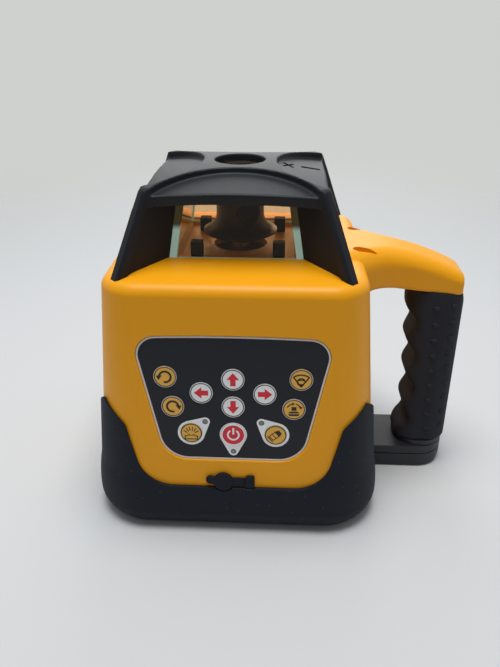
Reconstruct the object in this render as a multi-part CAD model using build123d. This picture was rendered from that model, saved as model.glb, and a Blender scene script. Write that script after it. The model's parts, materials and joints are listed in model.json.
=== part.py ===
from build123d import *
import os
from math import atan, cos, radians, sin, sqrt, tan

# Rotary laser level. Millimetres, +Z up, +X towards the handle, -Y towards the keypad.
# The origin is the mouth of the tripod thread, on the spin axis.

# Housing: a rounded square in plan whose walls lean in towards the top
body_half_top = 68.3
body_top = 138.0
wall_draft = 0.085
corner_axis = 48.5
wall = 3.5
split_height = 18.0
deck_thickness = 4.0
sill_slope = 0.16
sill_edge_radius = 6.5

# Glass box on the sill
glass_foot_half = 37.6
glass_foot_height = 146.8
glass_lean = 0.155
glass_thickness = 6.0
glass_seat = 1.8
glass_clearance = 0.1
pane_gap = 0.05
deck_drop = 3.8
deck_margin = 1.3
deck_hole_radius = 15.0
buffer_size = 6.5
buffer_height = 8.0
buffer_offset = 22.0

# Head cage
head_height = 43.2
dome_radius = 380.0
roof_half = 46.8
roof_corner_cut = 5.2
visor_arc_radius = 45.2
visor_apex = 20.0
visor_step = 3.0
visor_slope = 8.5
visor_crown_radius = 540.0
visor_foot_radius = 2.0
lip_height = 5.5
lip_edge_radius = 1.2
lip_end_margin = 1.5
lip_lift = 0.03
roof_seat_depth = 1.2
roof_seat_margin = 1.0
plumb_hole_radius = 13.6
plumb_ledge = 2.1
top_window_depth = 4.2
top_window_thickness = 2.5
fin_thickness = 4.0
fin_bar_thickness = 6.5
fin_bar_width = 6.0
fin_edge_radius = 2.0
fin_crest_radius = 2.6
fin_foot = 59.5
fin_head = 46.0
fin_root = 3.0
fin_bite = 1.0

# Bumper
bumper_thickness = 1.6
bumper_peak = 78.0
bumper_bulge = 2.1
bumper_bulge_height = 14.0
bumper_waist_height = 35.0
bumper_foot_inset = 7.0
sole_thickness = 3.0
sole_opening_half = 62.0
scoop_floor = 30.0
scoop_floor_half = 47.9
scoop_mouth = 66.0
scoop_mouth_half = 57.5
scoop_peak_half = 73.0
side_scoop_inset = 8.0
scoop_floor_radius = 20.0
scoop_mouth_radius = 6.0
part_clearance = 0.3

# Base tray, chassis and tripod plate
tray_foot_inset = 10.0
tray_floor_thickness = 2.5
tray_wall = 3.0
tray_pad_drop = 2.0
tripod_plate_radius = 24.0
tripod_plate_thickness = 4.0
tripod_hub_radius = 12.0
tripod_hub_end = 2.0
tripod_seat_wall = 1.8
tripod_seat_height = 8.0
tripod_screw_circle = 18.0
thread_radius = 6.8
thread_depth = 16.0
boss_offset = 54.0
boss_radius = 5.0
boss_top = 30.0
lug_width = 12.0
chassis_height = 42.0
chassis_thickness = 3.0
chassis_half = 62.0
chassis_corner_radius = 14.0
screw_radius = 1.5
screw_head_radius = 2.8
screw_head_height = 2.0
screw_clearance = 0.05
tripod_screw_length = 8.0
handle_screw_length = 32.0
lug_screw_depth = 8.0

# Battery
cell_radius = 7.25
cell_length = 50.0
cell_nub = 1.0
cell_gap = 0.5
battery_middle = 43.5
contact_space = 1.5
contact_thickness = 0.5
contact_width = 10.0
compartment_wall = 1.5
cover_thickness = 2.5
cover_ear = 9.0
cover_screw_length = 6.0

# Handle
grip_axis = 113.3
grip_inner = 16.85
grip_outer = 16.25
grip_width = 31.0
grip_corner_radius = 13.0
grip_top_drop = 25.5
grip_top_fall = 0.09
grip_top_inset = 2.9
grip_top_bend = 16.0
finger_foot = 2.15
finger_head = 11.75
finger_depth = 5.7
ridge_insets = (0.9, 3.6, 3.2, 1.6, 0.0)
handle_core_radius = 6.5
arm_reach = 12.7
arm_edge_radius = 2.4
arm_tip_radius = 2.0
foot_reach = 15.4
foot_half_width = 17.5
foot_end_radius = 16.5
foot_corner_radius = 8.0
foot_rise = 1.5
foot_thickness = 14.0
foot_groove = 0.6
foot_groove_drop = 6.0
collar_height = 3.5
collar_margin = 1.0
pocket_radius = 3.2
pocket_length = 9.5
pocket_spread = 18.0
pocket_depth = 2.4

# Keypad
panel_middle = 81.8
panel_top_half = 51.7
panel_bottom_half = 36.8
panel_height = 71.6
panel_crown = 1.3
panel_corner_radius = 10.5
panel_foot_radius = 16.0
panel_recess = 0.9
panel_thickness = 1.6
panel_clearance = 0.15
key_radius = 5.9
small_key_radius = 5.6
power_key_radius = 6.5
key_clearance = 0.2
key_proud = 0.3
key_thickness = 1.2
key_travel = 0.6
key_stem_radius = 2.2
key_stem_length = 3.7
stem_clearance = 0.4
light_radius = 1.4
light_clearance = 0.1
switch_radius = 3.0
switch_height = 0.9
switch_gap = 0.1
board_thickness = 1.6
board_width = 84.0
board_height = 60.0
standoff_radius = 3.0
standoff_margin = 4.0

# Charge port
port_x = -5.5
port_height = 33.4
port_bore_radius = 2.8
port_bore_depth = 9.0
port_barrel_radius = 4.0
port_barrel_clearance = 0.1
port_flange_radius = 6.0
port_flange_thickness = 2.0
port_length = 12.0
port_pin_radius = 1.0
port_pin_length = 5.0
plug_radius = 5.3
plug_thickness = 2.2
plug_stem_radius = 2.3
plug_stem_length = 2.2
plug_tab_reach = 9.4
plug_tab_width = 4.4
strap_width = 4.8
strap_thickness = 1.4
strap_lift = 0.3
hinge_reach = 11.0
anchor_gap = 0.4
anchor_length = 4.8
anchor_width = 7.6
anchor_thickness = 1.7
anchor_peg_radius = 1.2

# Gimbal, laser tube and spin drive
pulley_headroom = 6.0
pulley_height = 6.0
pulley_flange_thickness = 1.0
pulley_flange_rim = 1.0
pulley_gap = 1.0
big_pulley_radius = 10.0
small_pulley_radius = 4.0
belt_width = 3.0
belt_thickness = 0.9
belt_gap = 0.3
motor_plate_thickness = 2.0
motor_plate_rim = 3.0
motor_reach = 37.0
motor_radius = 7.0
motor_length = 22.0
motor_shaft_radius = 1.0
tube_above_pivot = 12.0
tube_stand = 11.0
tube_radius = 14.0
tube_bore = 9.5
tube_floor = 2.0
tube_cable_hole = 3.0
flange_radius = 22.0
lens_thickness = 3.0
lens_gap = 7.0
seat_clearance = 0.03
ring_inner = 20.0
ring_outer = 26.0
ring_height = 8.0
pivot_radius = 2.0
running_gap = 0.05
bracket_x = 33.0
bracket_thickness = 5.0
bracket_half_width = 14.0
bracket_rise = 8.0
bracket_foot = 3.0
bracket_window_half = 6.5
bracket_window_radius = 5.5
bracket_window_rise = 10.0
bracket_window_sill = 7.0
spindle_radius = 5.0
spindle_bore = 3.0
spindle_tail = 2.0
spindle_socket = 4.0
bearing_width = 5.0
bearing_inset = 2.0
bearing_spacing = 15.0

# Rotor head
rotor_lift = 4.0
rotor_disc_radius = 20.6
rotor_disc_thickness = 0.9
rotor_rim_rise = 3.4
rotor_neck_radius = 13.2
rotor_flare_height = 9.5
rotor_wall = 1.7
rotor_roof = 2.0
rotor_headroom = 2.6
rotor_top_hole = 5.0
beam_turn = 25.0
beam_drop = 13.9
beam_radius = 6.6
rotor_lens_thickness = 1.5
prism_size = 8.0

# Levelling drive
tilt_arm_lift = 24.0
tilt_arm_radius = 2.4
tilt_arm_reach = 44.0
tilt_tip_radius = 3.6
clamp_thickness = 3.0
clamp_height = 8.0
nut_gap = 0.3
nut_radius = 5.0
nut_cap = 2.0
nut_travel = 3.84
nut_clearance = 2.0
lug_thickness = 4.0
guide_offset = 9.0
guide_radius = 1.5
guide_length = 45.0
guide_wall = 1.2
lead_screw_radius = 2.0
lead_screw_gap = 0.2
level_motor_radius = 7.0
level_motor_height = 9.0
vial_radius = 3.3
vial_length = 20.0
vial_offset = 12.0

# Key places on the front face: distance from the middle and rise above the panel's middle
key_places = {
    "key_turn_left": (-34.8, 12.7),
    "key_turn_right": (-31.5, -4.3),
    "key_up": (0.0, 11.9),
    "key_down": (0.0, -3.8),
    "key_left": (-16.4, 4.0),
    "key_right": (16.4, 4.0),
    "key_scan": (34.8, 12.7),
    "key_speed": (31.5, -4.3),
    "key_tilt_alarm": (-22.3, -19.9),
    "key_power": (0.0, -20.4),
    "key_manual": (22.3, -19.9),
}
small_keys = ("key_tilt_alarm", "key_manual")
light_places = [(-14.8, -13.0), (14.8, -13.0), (0.0, -30.6)]

# Heights and depths that follow from the sizes above
overall_height = glass_foot_height + head_height
deck_floor = glass_foot_height - deck_drop
deck_half = glass_foot_half - glass_thickness - deck_margin
ceiling_height = deck_floor - deck_thickness
glass_seat_height = glass_foot_height - glass_seat
visor_top = overall_height - dome_radius + sqrt(dome_radius ** 2 - visor_apex ** 2) - visor_step
lip_top = visor_top - (roof_half - visor_apex) * tan(radians(visor_slope))
roof_underside = lip_top - lip_height
glass_top = roof_underside - roof_seat_depth
top_window_top = overall_height - top_window_depth
tray_floor = sole_thickness + tray_floor_thickness
tray_pad_low = sole_thickness - tray_pad_drop
tray_pad_half = sole_opening_half - part_clearance
tripod_hub_top = thread_depth + tripod_hub_end
cell_pitch = 2 * cell_radius + cell_gap
battery_half_length = cell_length / 2 + contact_space
battery_half_width = cell_pitch
cover_top = tray_pad_low + cover_thickness
lower_cell = cover_top + cell_gap + cell_radius
compartment_top = lower_cell + cell_pitch + cell_radius + cell_gap
cover_half_length = battery_half_length + cover_ear
cover_half_width = battery_half_width + compartment_wall
chassis_top = chassis_height + chassis_thickness
foot_top = foot_rise + foot_thickness
collar_top = foot_top + collar_height
grip_top = glass_foot_height - grip_top_drop
grip_depth = grip_inner + grip_outer
grip_middle = grip_axis + (grip_outer - grip_inner) / 2
finger_count = len(ridge_insets) - 1
finger_pitch = (grip_top - collar_top - finger_foot - finger_head) / finger_count
wall_depth = wall * cos(atan(wall_draft))
port_rise = port_height - panel_middle
panel_back = panel_recess + panel_thickness
key_front = panel_recess - key_proud
key_back = key_front + key_thickness
key_stem_end = key_back + key_stem_length
switch_depth = key_stem_end + key_travel + switch_gap
board_depth = switch_depth + switch_height
pulley_low = ceiling_height - pulley_headroom - pulley_height
motor_plate_low = pulley_low - pulley_gap - motor_plate_thickness
tube_top = motor_plate_low
gimbal_height = tube_top - tube_above_pivot
tube_low = chassis_top + tube_stand
module_low = tube_low + tube_floor
upper_bearing = tube_top - bearing_inset - bearing_width
lower_bearing = upper_bearing - bearing_spacing
spindle_low = lower_bearing - spindle_tail
module_top = spindle_low - lens_gap - lens_thickness
rotor_low = deck_floor + rotor_lift
rotor_top = roof_underside - roof_seat_depth - rotor_headroom
beam_height = roof_underside - beam_drop
prism_seat = beam_height - prism_size / 2
belt_low = pulley_low + (pulley_height - belt_width) / 2
tilt_arm_height = tube_low + tilt_arm_lift
level_motor_top = chassis_top + level_motor_height
nut_top = tilt_arm_height - tilt_tip_radius - nut_gap
nut_low = level_motor_top + nut_travel + nut_clearance
lead_screw_top = nut_top - nut_cap - nut_travel - part_clearance


def body_half(height):
    """Half width of the housing's outside at a height."""
    return body_half_top + (body_top - height) * wall_draft


def sill_height(half):
    """Height of the sloping sill at a half width."""
    return glass_foot_height - (half - glass_foot_half) * sill_slope


def glass_half(height):
    """Half width of the glass box's outside at a height."""
    return glass_foot_half - (height - glass_foot_height) * glass_lean


def four_ways(solid):
    """Four copies of a solid, a quarter turn apart."""
    return [Rot(0, 0, 90 * quarter) * solid for quarter in range(4)]


def upright_prism(sketch, low, high):
    """Extrude a plan sketch between two heights."""
    return extrude(Pos(0, 0, low) * sketch, high - low)


def rod(radius, low, high, x=0, y=0):
    """Upright cylinder between two heights."""
    return upright_prism(Pos(x, y) * Circle(radius), low, high)


def rod_along(axis, radius, start, end, height):
    """Level cylinder along X or Y through the spin axis."""
    turn = Rot(0, 90, 0) if axis == "x" else Rot(-90, 0, 0)
    return Pos(0, 0, height) * (turn * rod(radius, start, end))


def box_between(low, high):
    """Box between two corners."""
    size = [b - a for a, b in zip(low, high)]
    middle = [(a + b) / 2 for a, b in zip(low, high)]
    return Pos(*middle) * Box(*size)


def square_frustum(low, low_half, high, high_half):
    """Square block whose half width changes between two heights."""
    foot = Pos(0, 0, low) * Rectangle(2 * low_half, 2 * low_half)
    head = Pos(0, 0, high) * Rectangle(2 * high_half, 2 * high_half)
    return loft([foot, head], ruled=True)


def round_square(profile, low, high):
    """Carry a profile, drawn outwards from the corner axes, round a square core."""
    upright = Plane.XZ * profile
    place = Pos(corner_axis, corner_axis, 0)
    corner = place * revolve(upright, Axis.Z, 90)
    side = place * extrude(upright, 2 * corner_axis)
    core = box_between((-corner_axis, -corner_axis, low), (corner_axis, corner_axis, high))
    return core + four_ways(side) + four_ways(corner)


def straight_round_square(low, low_half, high, high_half):
    """Rounded square block with leaning walls between two heights."""
    corners = [(0, low), (low_half - corner_axis, low), (high_half - corner_axis, high), (0, high)]
    return round_square(make_face(Polyline(*corners, close=True)), low, high)


def front_plane(inset=0):
    """Plane on the housing's leaning front face, or set in from it."""
    lean = atan(wall_draft)
    outward = Vector(0, -cos(lean), sin(lean))
    middle = Vector(0, -body_half(panel_middle), panel_middle)
    return Plane(origin=middle - outward * inset, x_dir=(1, 0, 0), z_dir=outward)


def front_place(x, rise):
    """Place on the front face at a distance from the middle and a rise above the panel's middle."""
    return Pos(x, rise / cos(atan(wall_draft)))


def front_slab(sketch, inset_from, inset_to):
    """Extrude a sketch drawn on the front face between two depths."""
    return extrude(front_plane(inset_to) * sketch, inset_to - inset_from)


def front_rod(radius, inset_from, inset_to, x, rise):
    """Cylinder square to the front face between two depths."""
    return front_slab(front_place(x, rise) * Circle(radius), inset_from, inset_to)


def body_envelope():
    """Outside of the housing, solid, with the rounded sill edge."""
    slope_drop = body_half(sill_height(0)) / (1 - wall_draft * sill_slope)
    edge = (slope_drop - corner_axis, sill_height(slope_drop))
    shoulder = sill_height(corner_axis)
    foot = (body_half(split_height) - corner_axis, split_height)
    profile = make_face(Polyline((0, split_height), foot, edge, (0, shoulder), close=True))
    rim = profile.vertices().sort_by_distance(edge)[0]
    profile = fillet(rim, sill_edge_radius)
    hip = square_frustum(shoulder, corner_axis, glass_foot_height, glass_foot_half)
    return round_square(profile, split_height, shoulder) + hip


def body_cavity():
    """Inside of the housing."""
    low_half = body_half(split_height) - wall
    high_half = body_half(ceiling_height) - wall
    return straight_round_square(split_height, low_half, ceiling_height, high_half)


def arm_section(half_width, low, high, top_radius):
    """Cross-section of the upper arm: well rounded on top, nearly square below."""
    outline = Pos(0, (low + high) / 2) * Rectangle(2 * half_width, high - low)
    outline = fillet(outline.vertices().group_by(Axis.Y)[-1], top_radius)
    return fillet(outline.vertices().group_by(Axis.Y)[0], arm_edge_radius)


def handle_arm():
    """Upper handle arm: flares into the housing and droops to a rounded tip."""
    stations = [
        (glass_foot_half + 1.2, 33.0, 27.0, 1.8, 8.0),
        (corner_axis + 5.5, 33.0, 26.0, 0.6, 11.0),
        (body_half_top - 2.3, 29.5, 24.8, 0.9, 12.0),
        (body_half_top + 9.7, 20.5, 23.8, 1.8, 10.0),
        (grip_axis - 21.3, 16.4, 25.4, 4.3, 8.5),
        (grip_axis - 3.3, 15.5, 27.6, 9.9, 8.0),
        (grip_axis + 6.7, 14.9, 28.8, 14.3, 7.0),
        (grip_axis + arm_reach, 13.6, 29.5, 18.0, 5.5),
    ]
    sections = []
    for x, half_width, low_drop, high_drop, radius in stations:
        low = glass_foot_height - low_drop
        high = glass_foot_height - high_drop
        sections.append(Pos(x, 0, 0) * (Plane.YZ * arm_section(half_width, low, high, radius)))
    arm = loft(sections)
    tip = arm.faces().sort_by(Axis.X)[-1]
    return fillet(tip.edges(), arm_tip_radius)


def arm_pockets():
    """Two teardrop pockets on the arm's shoulders, pointing outwards."""
    tip = Pos(pocket_length, 0) * Circle(pocket_radius / 6)
    drop = make_hull((Circle(pocket_radius) + tip).edges())
    x = body_half_top - pocket_radius
    low = glass_foot_height - pocket_depth
    pockets = []
    for side in (-1, 1):
        pockets.append(upright_prism(Pos(x, side * pocket_spread) * drop, low, low + 3 * pocket_depth))
    return pockets


def corner_lugs(envelope):
    """Lugs in the housing's corners for the case screws and the chassis."""
    reach = boss_offset * sqrt(2)
    low = (reach - lug_width / 2, -lug_width / 2, boss_top)
    high = (2 * reach, lug_width / 2, chassis_height)
    lugs = Part() + four_ways(Rot(0, 0, 45) * box_between(low, high))
    return lugs & envelope


def case_screw_holes(radius, low, high):
    """Rods at the four case screw places."""
    return four_ways(rod(radius, low, high, boss_offset, boss_offset))


def panel_outline():
    """Keypad panel's outline: a trapezoid with a crowned top and round corners."""
    half_height = panel_height / 2
    left_top = (-panel_top_half, half_height - panel_crown)
    right_top = (panel_top_half, half_height - panel_crown)
    left_low = (-panel_bottom_half, -half_height)
    right_low = (panel_bottom_half, -half_height)
    edges = [ThreePointArc(left_top, (0, half_height), right_top)]
    edges += [Line(right_top, right_low), Line(right_low, left_low), Line(left_low, left_top)]
    face = make_face(edges)
    face = fillet(face.vertices().group_by(Axis.Y)[-1], panel_corner_radius)
    return fillet(face.vertices().group_by(Axis.Y)[0], panel_foot_radius)


def standoffs():
    """Posts behind the front wall that carry the control board."""
    posts = []
    for x in (-1, 1):
        for up in (-1, 1):
            place = Pos(x * (board_width / 2 - standoff_margin), up * (board_height / 2 - standoff_margin))
            posts.append(front_slab(place * Circle(standoff_radius), wall_depth, board_depth))
    return posts


def front_cuts():
    """Panel recess and the holes for stems, lights, socket and plug anchor."""
    cuts = [front_slab(panel_outline(), -wall, panel_back)]
    for x, rise in key_places.values():
        cuts.append(front_rod(key_stem_radius + stem_clearance, 0, 2 * wall, x, rise))
    for x, rise in light_places:
        cuts.append(front_rod(light_radius + light_clearance, 0, 2 * wall, x, rise))
    barrel_hole = port_barrel_radius + port_barrel_clearance
    cuts.append(front_rod(barrel_hole, -wall, 2 * wall, port_x, port_rise))
    cuts.append(front_rod(anchor_peg_radius, -wall, 2 * wall, anchor_middle(), port_rise))
    return cuts


def anchor_middle():
    """Place of the plug's anchor, along the front face."""
    return port_x + hinge_reach + strap_thickness / 2 + anchor_gap + anchor_length / 2


def anchor_plan(margin=0):
    """Outline of the plug's anchor on the front face, or with a margin round it."""
    size = (anchor_length + 2 * margin, anchor_width + 2 * margin)
    return front_place(anchor_middle(), port_rise) * RectangleRounded(*size, anchor_length / 4)


def main_housing(envelope, arm):
    """Housing shell with its sill, deck, front recess and upper handle arm."""
    rebate_half = glass_half(glass_seat_height) + glass_clearance
    rebate = square_frustum(glass_seat_height, rebate_half, overall_height, rebate_half)
    deck = square_frustum(deck_floor, deck_half, glass_seat_height, deck_half + glass_seat)
    hole = rod(deck_hole_radius, ceiling_height - wall, deck_floor + wall)
    shell = (envelope + arm) - [body_cavity(), rebate, deck, hole]
    shell = shell + [corner_lugs(envelope)] + standoffs()
    screw_top = boss_top + lug_screw_depth
    cuts = front_cuts() + case_screw_holes(screw_radius + screw_clearance, boss_top, screw_top)
    return shell - cuts - arm_pockets()


def visor_cut():
    """What is taken off the dome in front to leave a sloping, crowned visor."""
    slope = radians(visor_slope)
    ridge = Vector(0, -visor_apex, visor_top)
    along = Plane(origin=ridge, x_dir=(1, 0, 0), z_dir=(0, cos(slope), sin(slope)))
    disc = along * (Pos(0, visor_crown_radius) * Circle(visor_crown_radius))
    crown = extrude(disc, 2 * roof_half, both=True)
    column = Pos(0, -visor_apex - visor_arc_radius) * Circle(visor_arc_radius)
    cut = upright_prism(column, roof_underside, overall_height + wall) - crown
    floor = cut.faces().sort_by(Axis.Z)[0]
    return fillet(floor.edges(), visor_foot_radius)


def lip_trim():
    """What is taken off a visor's lip in front to lean it in and round its upper edge."""
    slope = radians(visor_slope)
    edge = Vector(0, -roof_half, lip_top + lip_lift)
    front = Plane(origin=edge, x_dir=(1, 0, 0), z_dir=(0, -cos(slope), -sin(slope)))
    crown = extrude(front * (Pos(0, -visor_crown_radius) * Circle(visor_crown_radius)), -roof_half)
    rim = crown.edges().filter_by(GeomType.CIRCLE).sort_by(Axis.Y)[0]
    crown = fillet(rim, lip_edge_radius)
    half = sqrt(visor_arc_radius ** 2 - (visor_apex + visor_arc_radius - roof_half) ** 2) - lip_end_margin
    low = (-half, -2 * roof_half, roof_underside - 2 * lip_height)
    return box_between(low, (half, lip_edge_radius - roof_half, lip_top + lip_height)) - crown


def roof():
    """Domed four-pointed roof with four visors, arched underneath."""
    low = roof_underside - roof_half ** 2 / (2 * visor_crown_radius)
    plan = Rectangle(2 * roof_half, 2 * roof_half)
    plan = chamfer(plan.vertices(), roof_corner_cut)
    block = upright_prism(plan, low, overall_height + wall)
    dome = Pos(0, 0, overall_height - dome_radius) * Sphere(dome_radius)
    drum_middle = roof_underside - visor_crown_radius
    reach = 2 * roof_half
    drums = [rod_along(axis, visor_crown_radius, -reach, reach, drum_middle) for axis in "xy"]
    seat_half = glass_half(glass_top) + roof_seat_margin
    seat = box_between((-seat_half, -seat_half, glass_top), (seat_half, seat_half, roof_underside + wall))
    window_low = top_window_top - top_window_thickness
    hole = rod(plumb_hole_radius - plumb_ledge, low, overall_height)
    recess = rod(plumb_hole_radius + pane_gap, window_low, overall_height + wall)
    inner_half = seat_half - glass_thickness - 2 * roof_seat_margin
    inner = box_between((-inner_half, -inner_half, low), (inner_half, inner_half, roof_underside))
    plate = ((block & dome) - drums) - four_ways(visor_cut())
    plate = plate - four_ways(lip_trim())
    return (plate + seat) - [hole, recess, inner]


def fin():
    """Diagonal fin with a thicker bar along its outer edge, which runs up over the roof's corner."""
    sill = sill_height(fin_foot)
    lean = (fin_foot - fin_head) * sqrt(2) / (lip_top - sill)
    low = sill - fin_root
    web_top = roof_underside + fin_bite
    crest_reach = fin_head * sqrt(2)
    crest = overall_height - dome_radius + sqrt(dome_radius ** 2 - crest_reach ** 2)
    fall = crest_reach / sqrt(dome_radius ** 2 - crest_reach ** 2)
    foot = (crest_reach + (lip_top - low) * lean, low)
    head = (crest_reach - (web_top - lip_top) * lean, web_top)
    web = make_face(Polyline((glass_foot_half, low), foot, head, (glass_foot_half / 2, web_top), close=True))
    tip = (crest_reach - (crest - lip_top) * lean, crest)
    inner_tip = (tip[0] - fin_bar_width, crest + fin_bar_width * fall)
    bar = make_face(Polyline((foot[0] - fin_bar_width, low), foot, tip, inner_tip, close=True))
    corner = bar.vertices().sort_by_distance(tip)[0]
    bar = fillet(corner, fin_crest_radius)
    web = extrude(Plane.XZ * web, fin_thickness / 2, both=True)
    bar = extrude(Plane.XZ * bar, fin_bar_thickness / 2, both=True)
    long_edges = bar.edges().filter_by(Axis.Y, reverse=True).sort_by(SortBy.LENGTH)[-4:]
    outer_edges = long_edges.sort_by(Axis.X)[-2:]
    bar = fillet(outer_edges, fin_edge_radius)
    return Rot(0, 0, 45) * (web + bar)


def head_cage(envelope):
    """Roof on four fins, standing on the sill round the glass."""
    low = glass_seat_height - wall
    clearance = glass_clearance
    glass = square_frustum(low, glass_half(low) + clearance, glass_top, glass_half(glass_top) + clearance)
    fins = (Part() + four_ways(fin())) - [envelope, glass]
    return roof() + [fins]


def top_window():
    """Round window in the plumb hole."""
    return rod(plumb_hole_radius, top_window_top - top_window_thickness, top_window_top)


def glass_block(inset_x, inset_y):
    """Leaning glass box with its faces set in along X and Y."""
    faces = []
    for height in (glass_seat_height, glass_top):
        half = glass_half(height)
        faces.append(Pos(0, 0, height) * Rectangle(2 * (half - inset_x), 2 * (half - inset_y)))
    return loft(faces, ruled=True)


def window_panes():
    """Four leaning panes, the side ones overlapping the ends of the other two."""
    sides = glass_block(0, 0) - glass_block(glass_thickness, -wall)
    ends = glass_block(glass_thickness + pane_gap, 0) - glass_block(-wall, glass_thickness)
    left, right = sides.solids().sort_by(Axis.X)
    front, rear = ends.solids().sort_by(Axis.Y)
    return {"window_left": left, "window_right": right, "window_front": front, "window_rear": rear}


def deck_buffers():
    """Four rubber buffers on the deck inside the glass."""
    plan = RectangleRounded(buffer_size, buffer_size, buffer_size / 6)
    buffer = upright_prism(Pos(buffer_offset, buffer_offset) * plan, deck_floor, deck_floor + buffer_height)
    return Part() + four_ways(buffer)


def bumper_profile():
    """Bumper's outline from the sole, over the bulge and waist, to the peak."""
    foot = (body_half(0) - bumper_foot_inset - corner_axis, 0)
    bulge = (body_half(bumper_bulge_height) + bumper_bulge - corner_axis, bumper_bulge_height)
    waist_half = body_half(bumper_waist_height) + bumper_thickness
    waist = (waist_half - corner_axis, bumper_waist_height)
    peak = (body_half(bumper_peak) + bumper_thickness - corner_axis, bumper_peak)
    edges = [TangentArc(bulge, foot, tangent=(0, -1)), TangentArc(bulge, waist, tangent=(0, 1))]
    rest = Polyline(waist, peak, (0, bumper_peak), (0, 0), foot)
    return make_face(edges + rest.edges())


def scoop(floor_half, mouth_half, peak_half):
    """Cut along Y that drops the bumper's top edge between two corner peaks."""
    reach = 2 * body_half(0)
    right = [(floor_half, scoop_floor), (mouth_half, scoop_mouth), (peak_half, bumper_peak)]
    right += [(reach, bumper_peak), (reach, 2 * bumper_peak)]
    left = [(-x, height) for x, height in reversed(right)]
    face = make_face(Polyline(*right, *left, close=True))
    face = fillet(face.vertices().group_by(Axis.Y)[0], scoop_floor_radius)
    mouth_places = [(-mouth_half, scoop_mouth), (mouth_half, scoop_mouth)]
    mouth = [face.vertices().sort_by_distance(place)[0] for place in mouth_places]
    face = fillet(mouth, scoop_mouth_radius)
    return extrude(Plane.XZ * face, reach, both=True)


def rubber_bumper(envelope, tray):
    """Rubber bumper round the foot, drawn up to a peak at each corner."""
    block = round_square(bumper_profile(), 0, bumper_peak)
    opening_corner = sole_opening_half - corner_axis
    opening = RectangleRounded(2 * sole_opening_half, 2 * sole_opening_half, opening_corner)
    opening = upright_prism(opening, -wall, sole_thickness)
    front_scoop = scoop(scoop_floor_half, scoop_mouth_half, scoop_peak_half)
    side_scoop = scoop(scoop_floor_half - side_scoop_inset, scoop_mouth_half - side_scoop_inset,
                       scoop_peak_half - side_scoop_inset)
    notch_half = foot_half_width + part_clearance
    notch_low = (corner_axis, -notch_half, -wall)
    notch_high = (2 * body_half(0), notch_half, foot_top + part_clearance)
    port = front_rod(plug_radius + 2 * part_clearance, -2 * wall, wall, port_x, port_rise)
    anchor = front_slab(anchor_plan(part_clearance), -2 * wall, wall)
    cuts = [envelope, tray, opening, front_scoop, Rot(0, 0, 90) * side_scoop, port, anchor]
    return block - cuts - box_between(notch_low, notch_high)


def tray_envelope():
    """Outside of the base tray, solid."""
    foot_half = body_half(0) - tray_foot_inset
    return straight_round_square(sole_thickness, foot_half, split_height, body_half(split_height))


def tray_cavity():
    """Inside of the base tray."""
    foot_half = body_half(0) - tray_foot_inset
    flare = (body_half(split_height) - foot_half) / (split_height - sole_thickness)
    floor_half = foot_half + (tray_floor - sole_thickness) * flare - tray_wall
    return straight_round_square(tray_floor, floor_half, split_height, body_half(split_height) - tray_wall)


def foot_arm():
    """Lower handle arm with a rounded tip and a plinth under the grip."""
    tip = grip_axis + foot_reach
    start = corner_axis + wall
    side = [(start, foot_rise), (tip, foot_rise), (tip, foot_top), (start, foot_top)]
    side = make_face(Polyline(*side, close=True))
    corner = side.vertices().sort_by_distance((tip, foot_rise))[0]
    side = fillet(corner, foot_corner_radius)
    beam = extrude(Plane.XZ * side, foot_half_width, both=True)
    plan_length = 2 * (tip - start)
    plan = Pos(start, 0) * RectangleRounded(plan_length, 2 * foot_half_width, foot_end_radius)
    groove_low = foot_top - foot_groove_drop
    groove = upright_prism(plan - offset(plan, -foot_groove), groove_low, groove_low + foot_groove)
    beam = (beam & upright_prism(plan, 0, foot_top)) - groove
    margin = 2 * collar_margin
    collar = RectangleRounded(grip_depth - margin, grip_width + margin, grip_corner_radius + margin)
    return beam + upright_prism(Pos(grip_middle, 0) * collar, foot_top, collar_top)


def battery_box(half_length, half_width, low, high):
    """Box round the middle of the battery."""
    low_corner = (-half_length, battery_middle - half_width, low)
    return box_between(low_corner, (half_length, battery_middle + half_width, high))


def cover_screw_places():
    """Places of the two battery cover screws."""
    x = battery_half_length + cover_ear / 2 + compartment_wall / 2
    return [(-x, battery_middle), (x, battery_middle)]


def tripod_screw_places():
    """Places of the four tripod plate screws, a quarter turn apart."""
    reach = tripod_screw_circle / sqrt(2)
    return [(x * reach, y * reach) for x in (-1, 1) for y in (-1, 1)]


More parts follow.
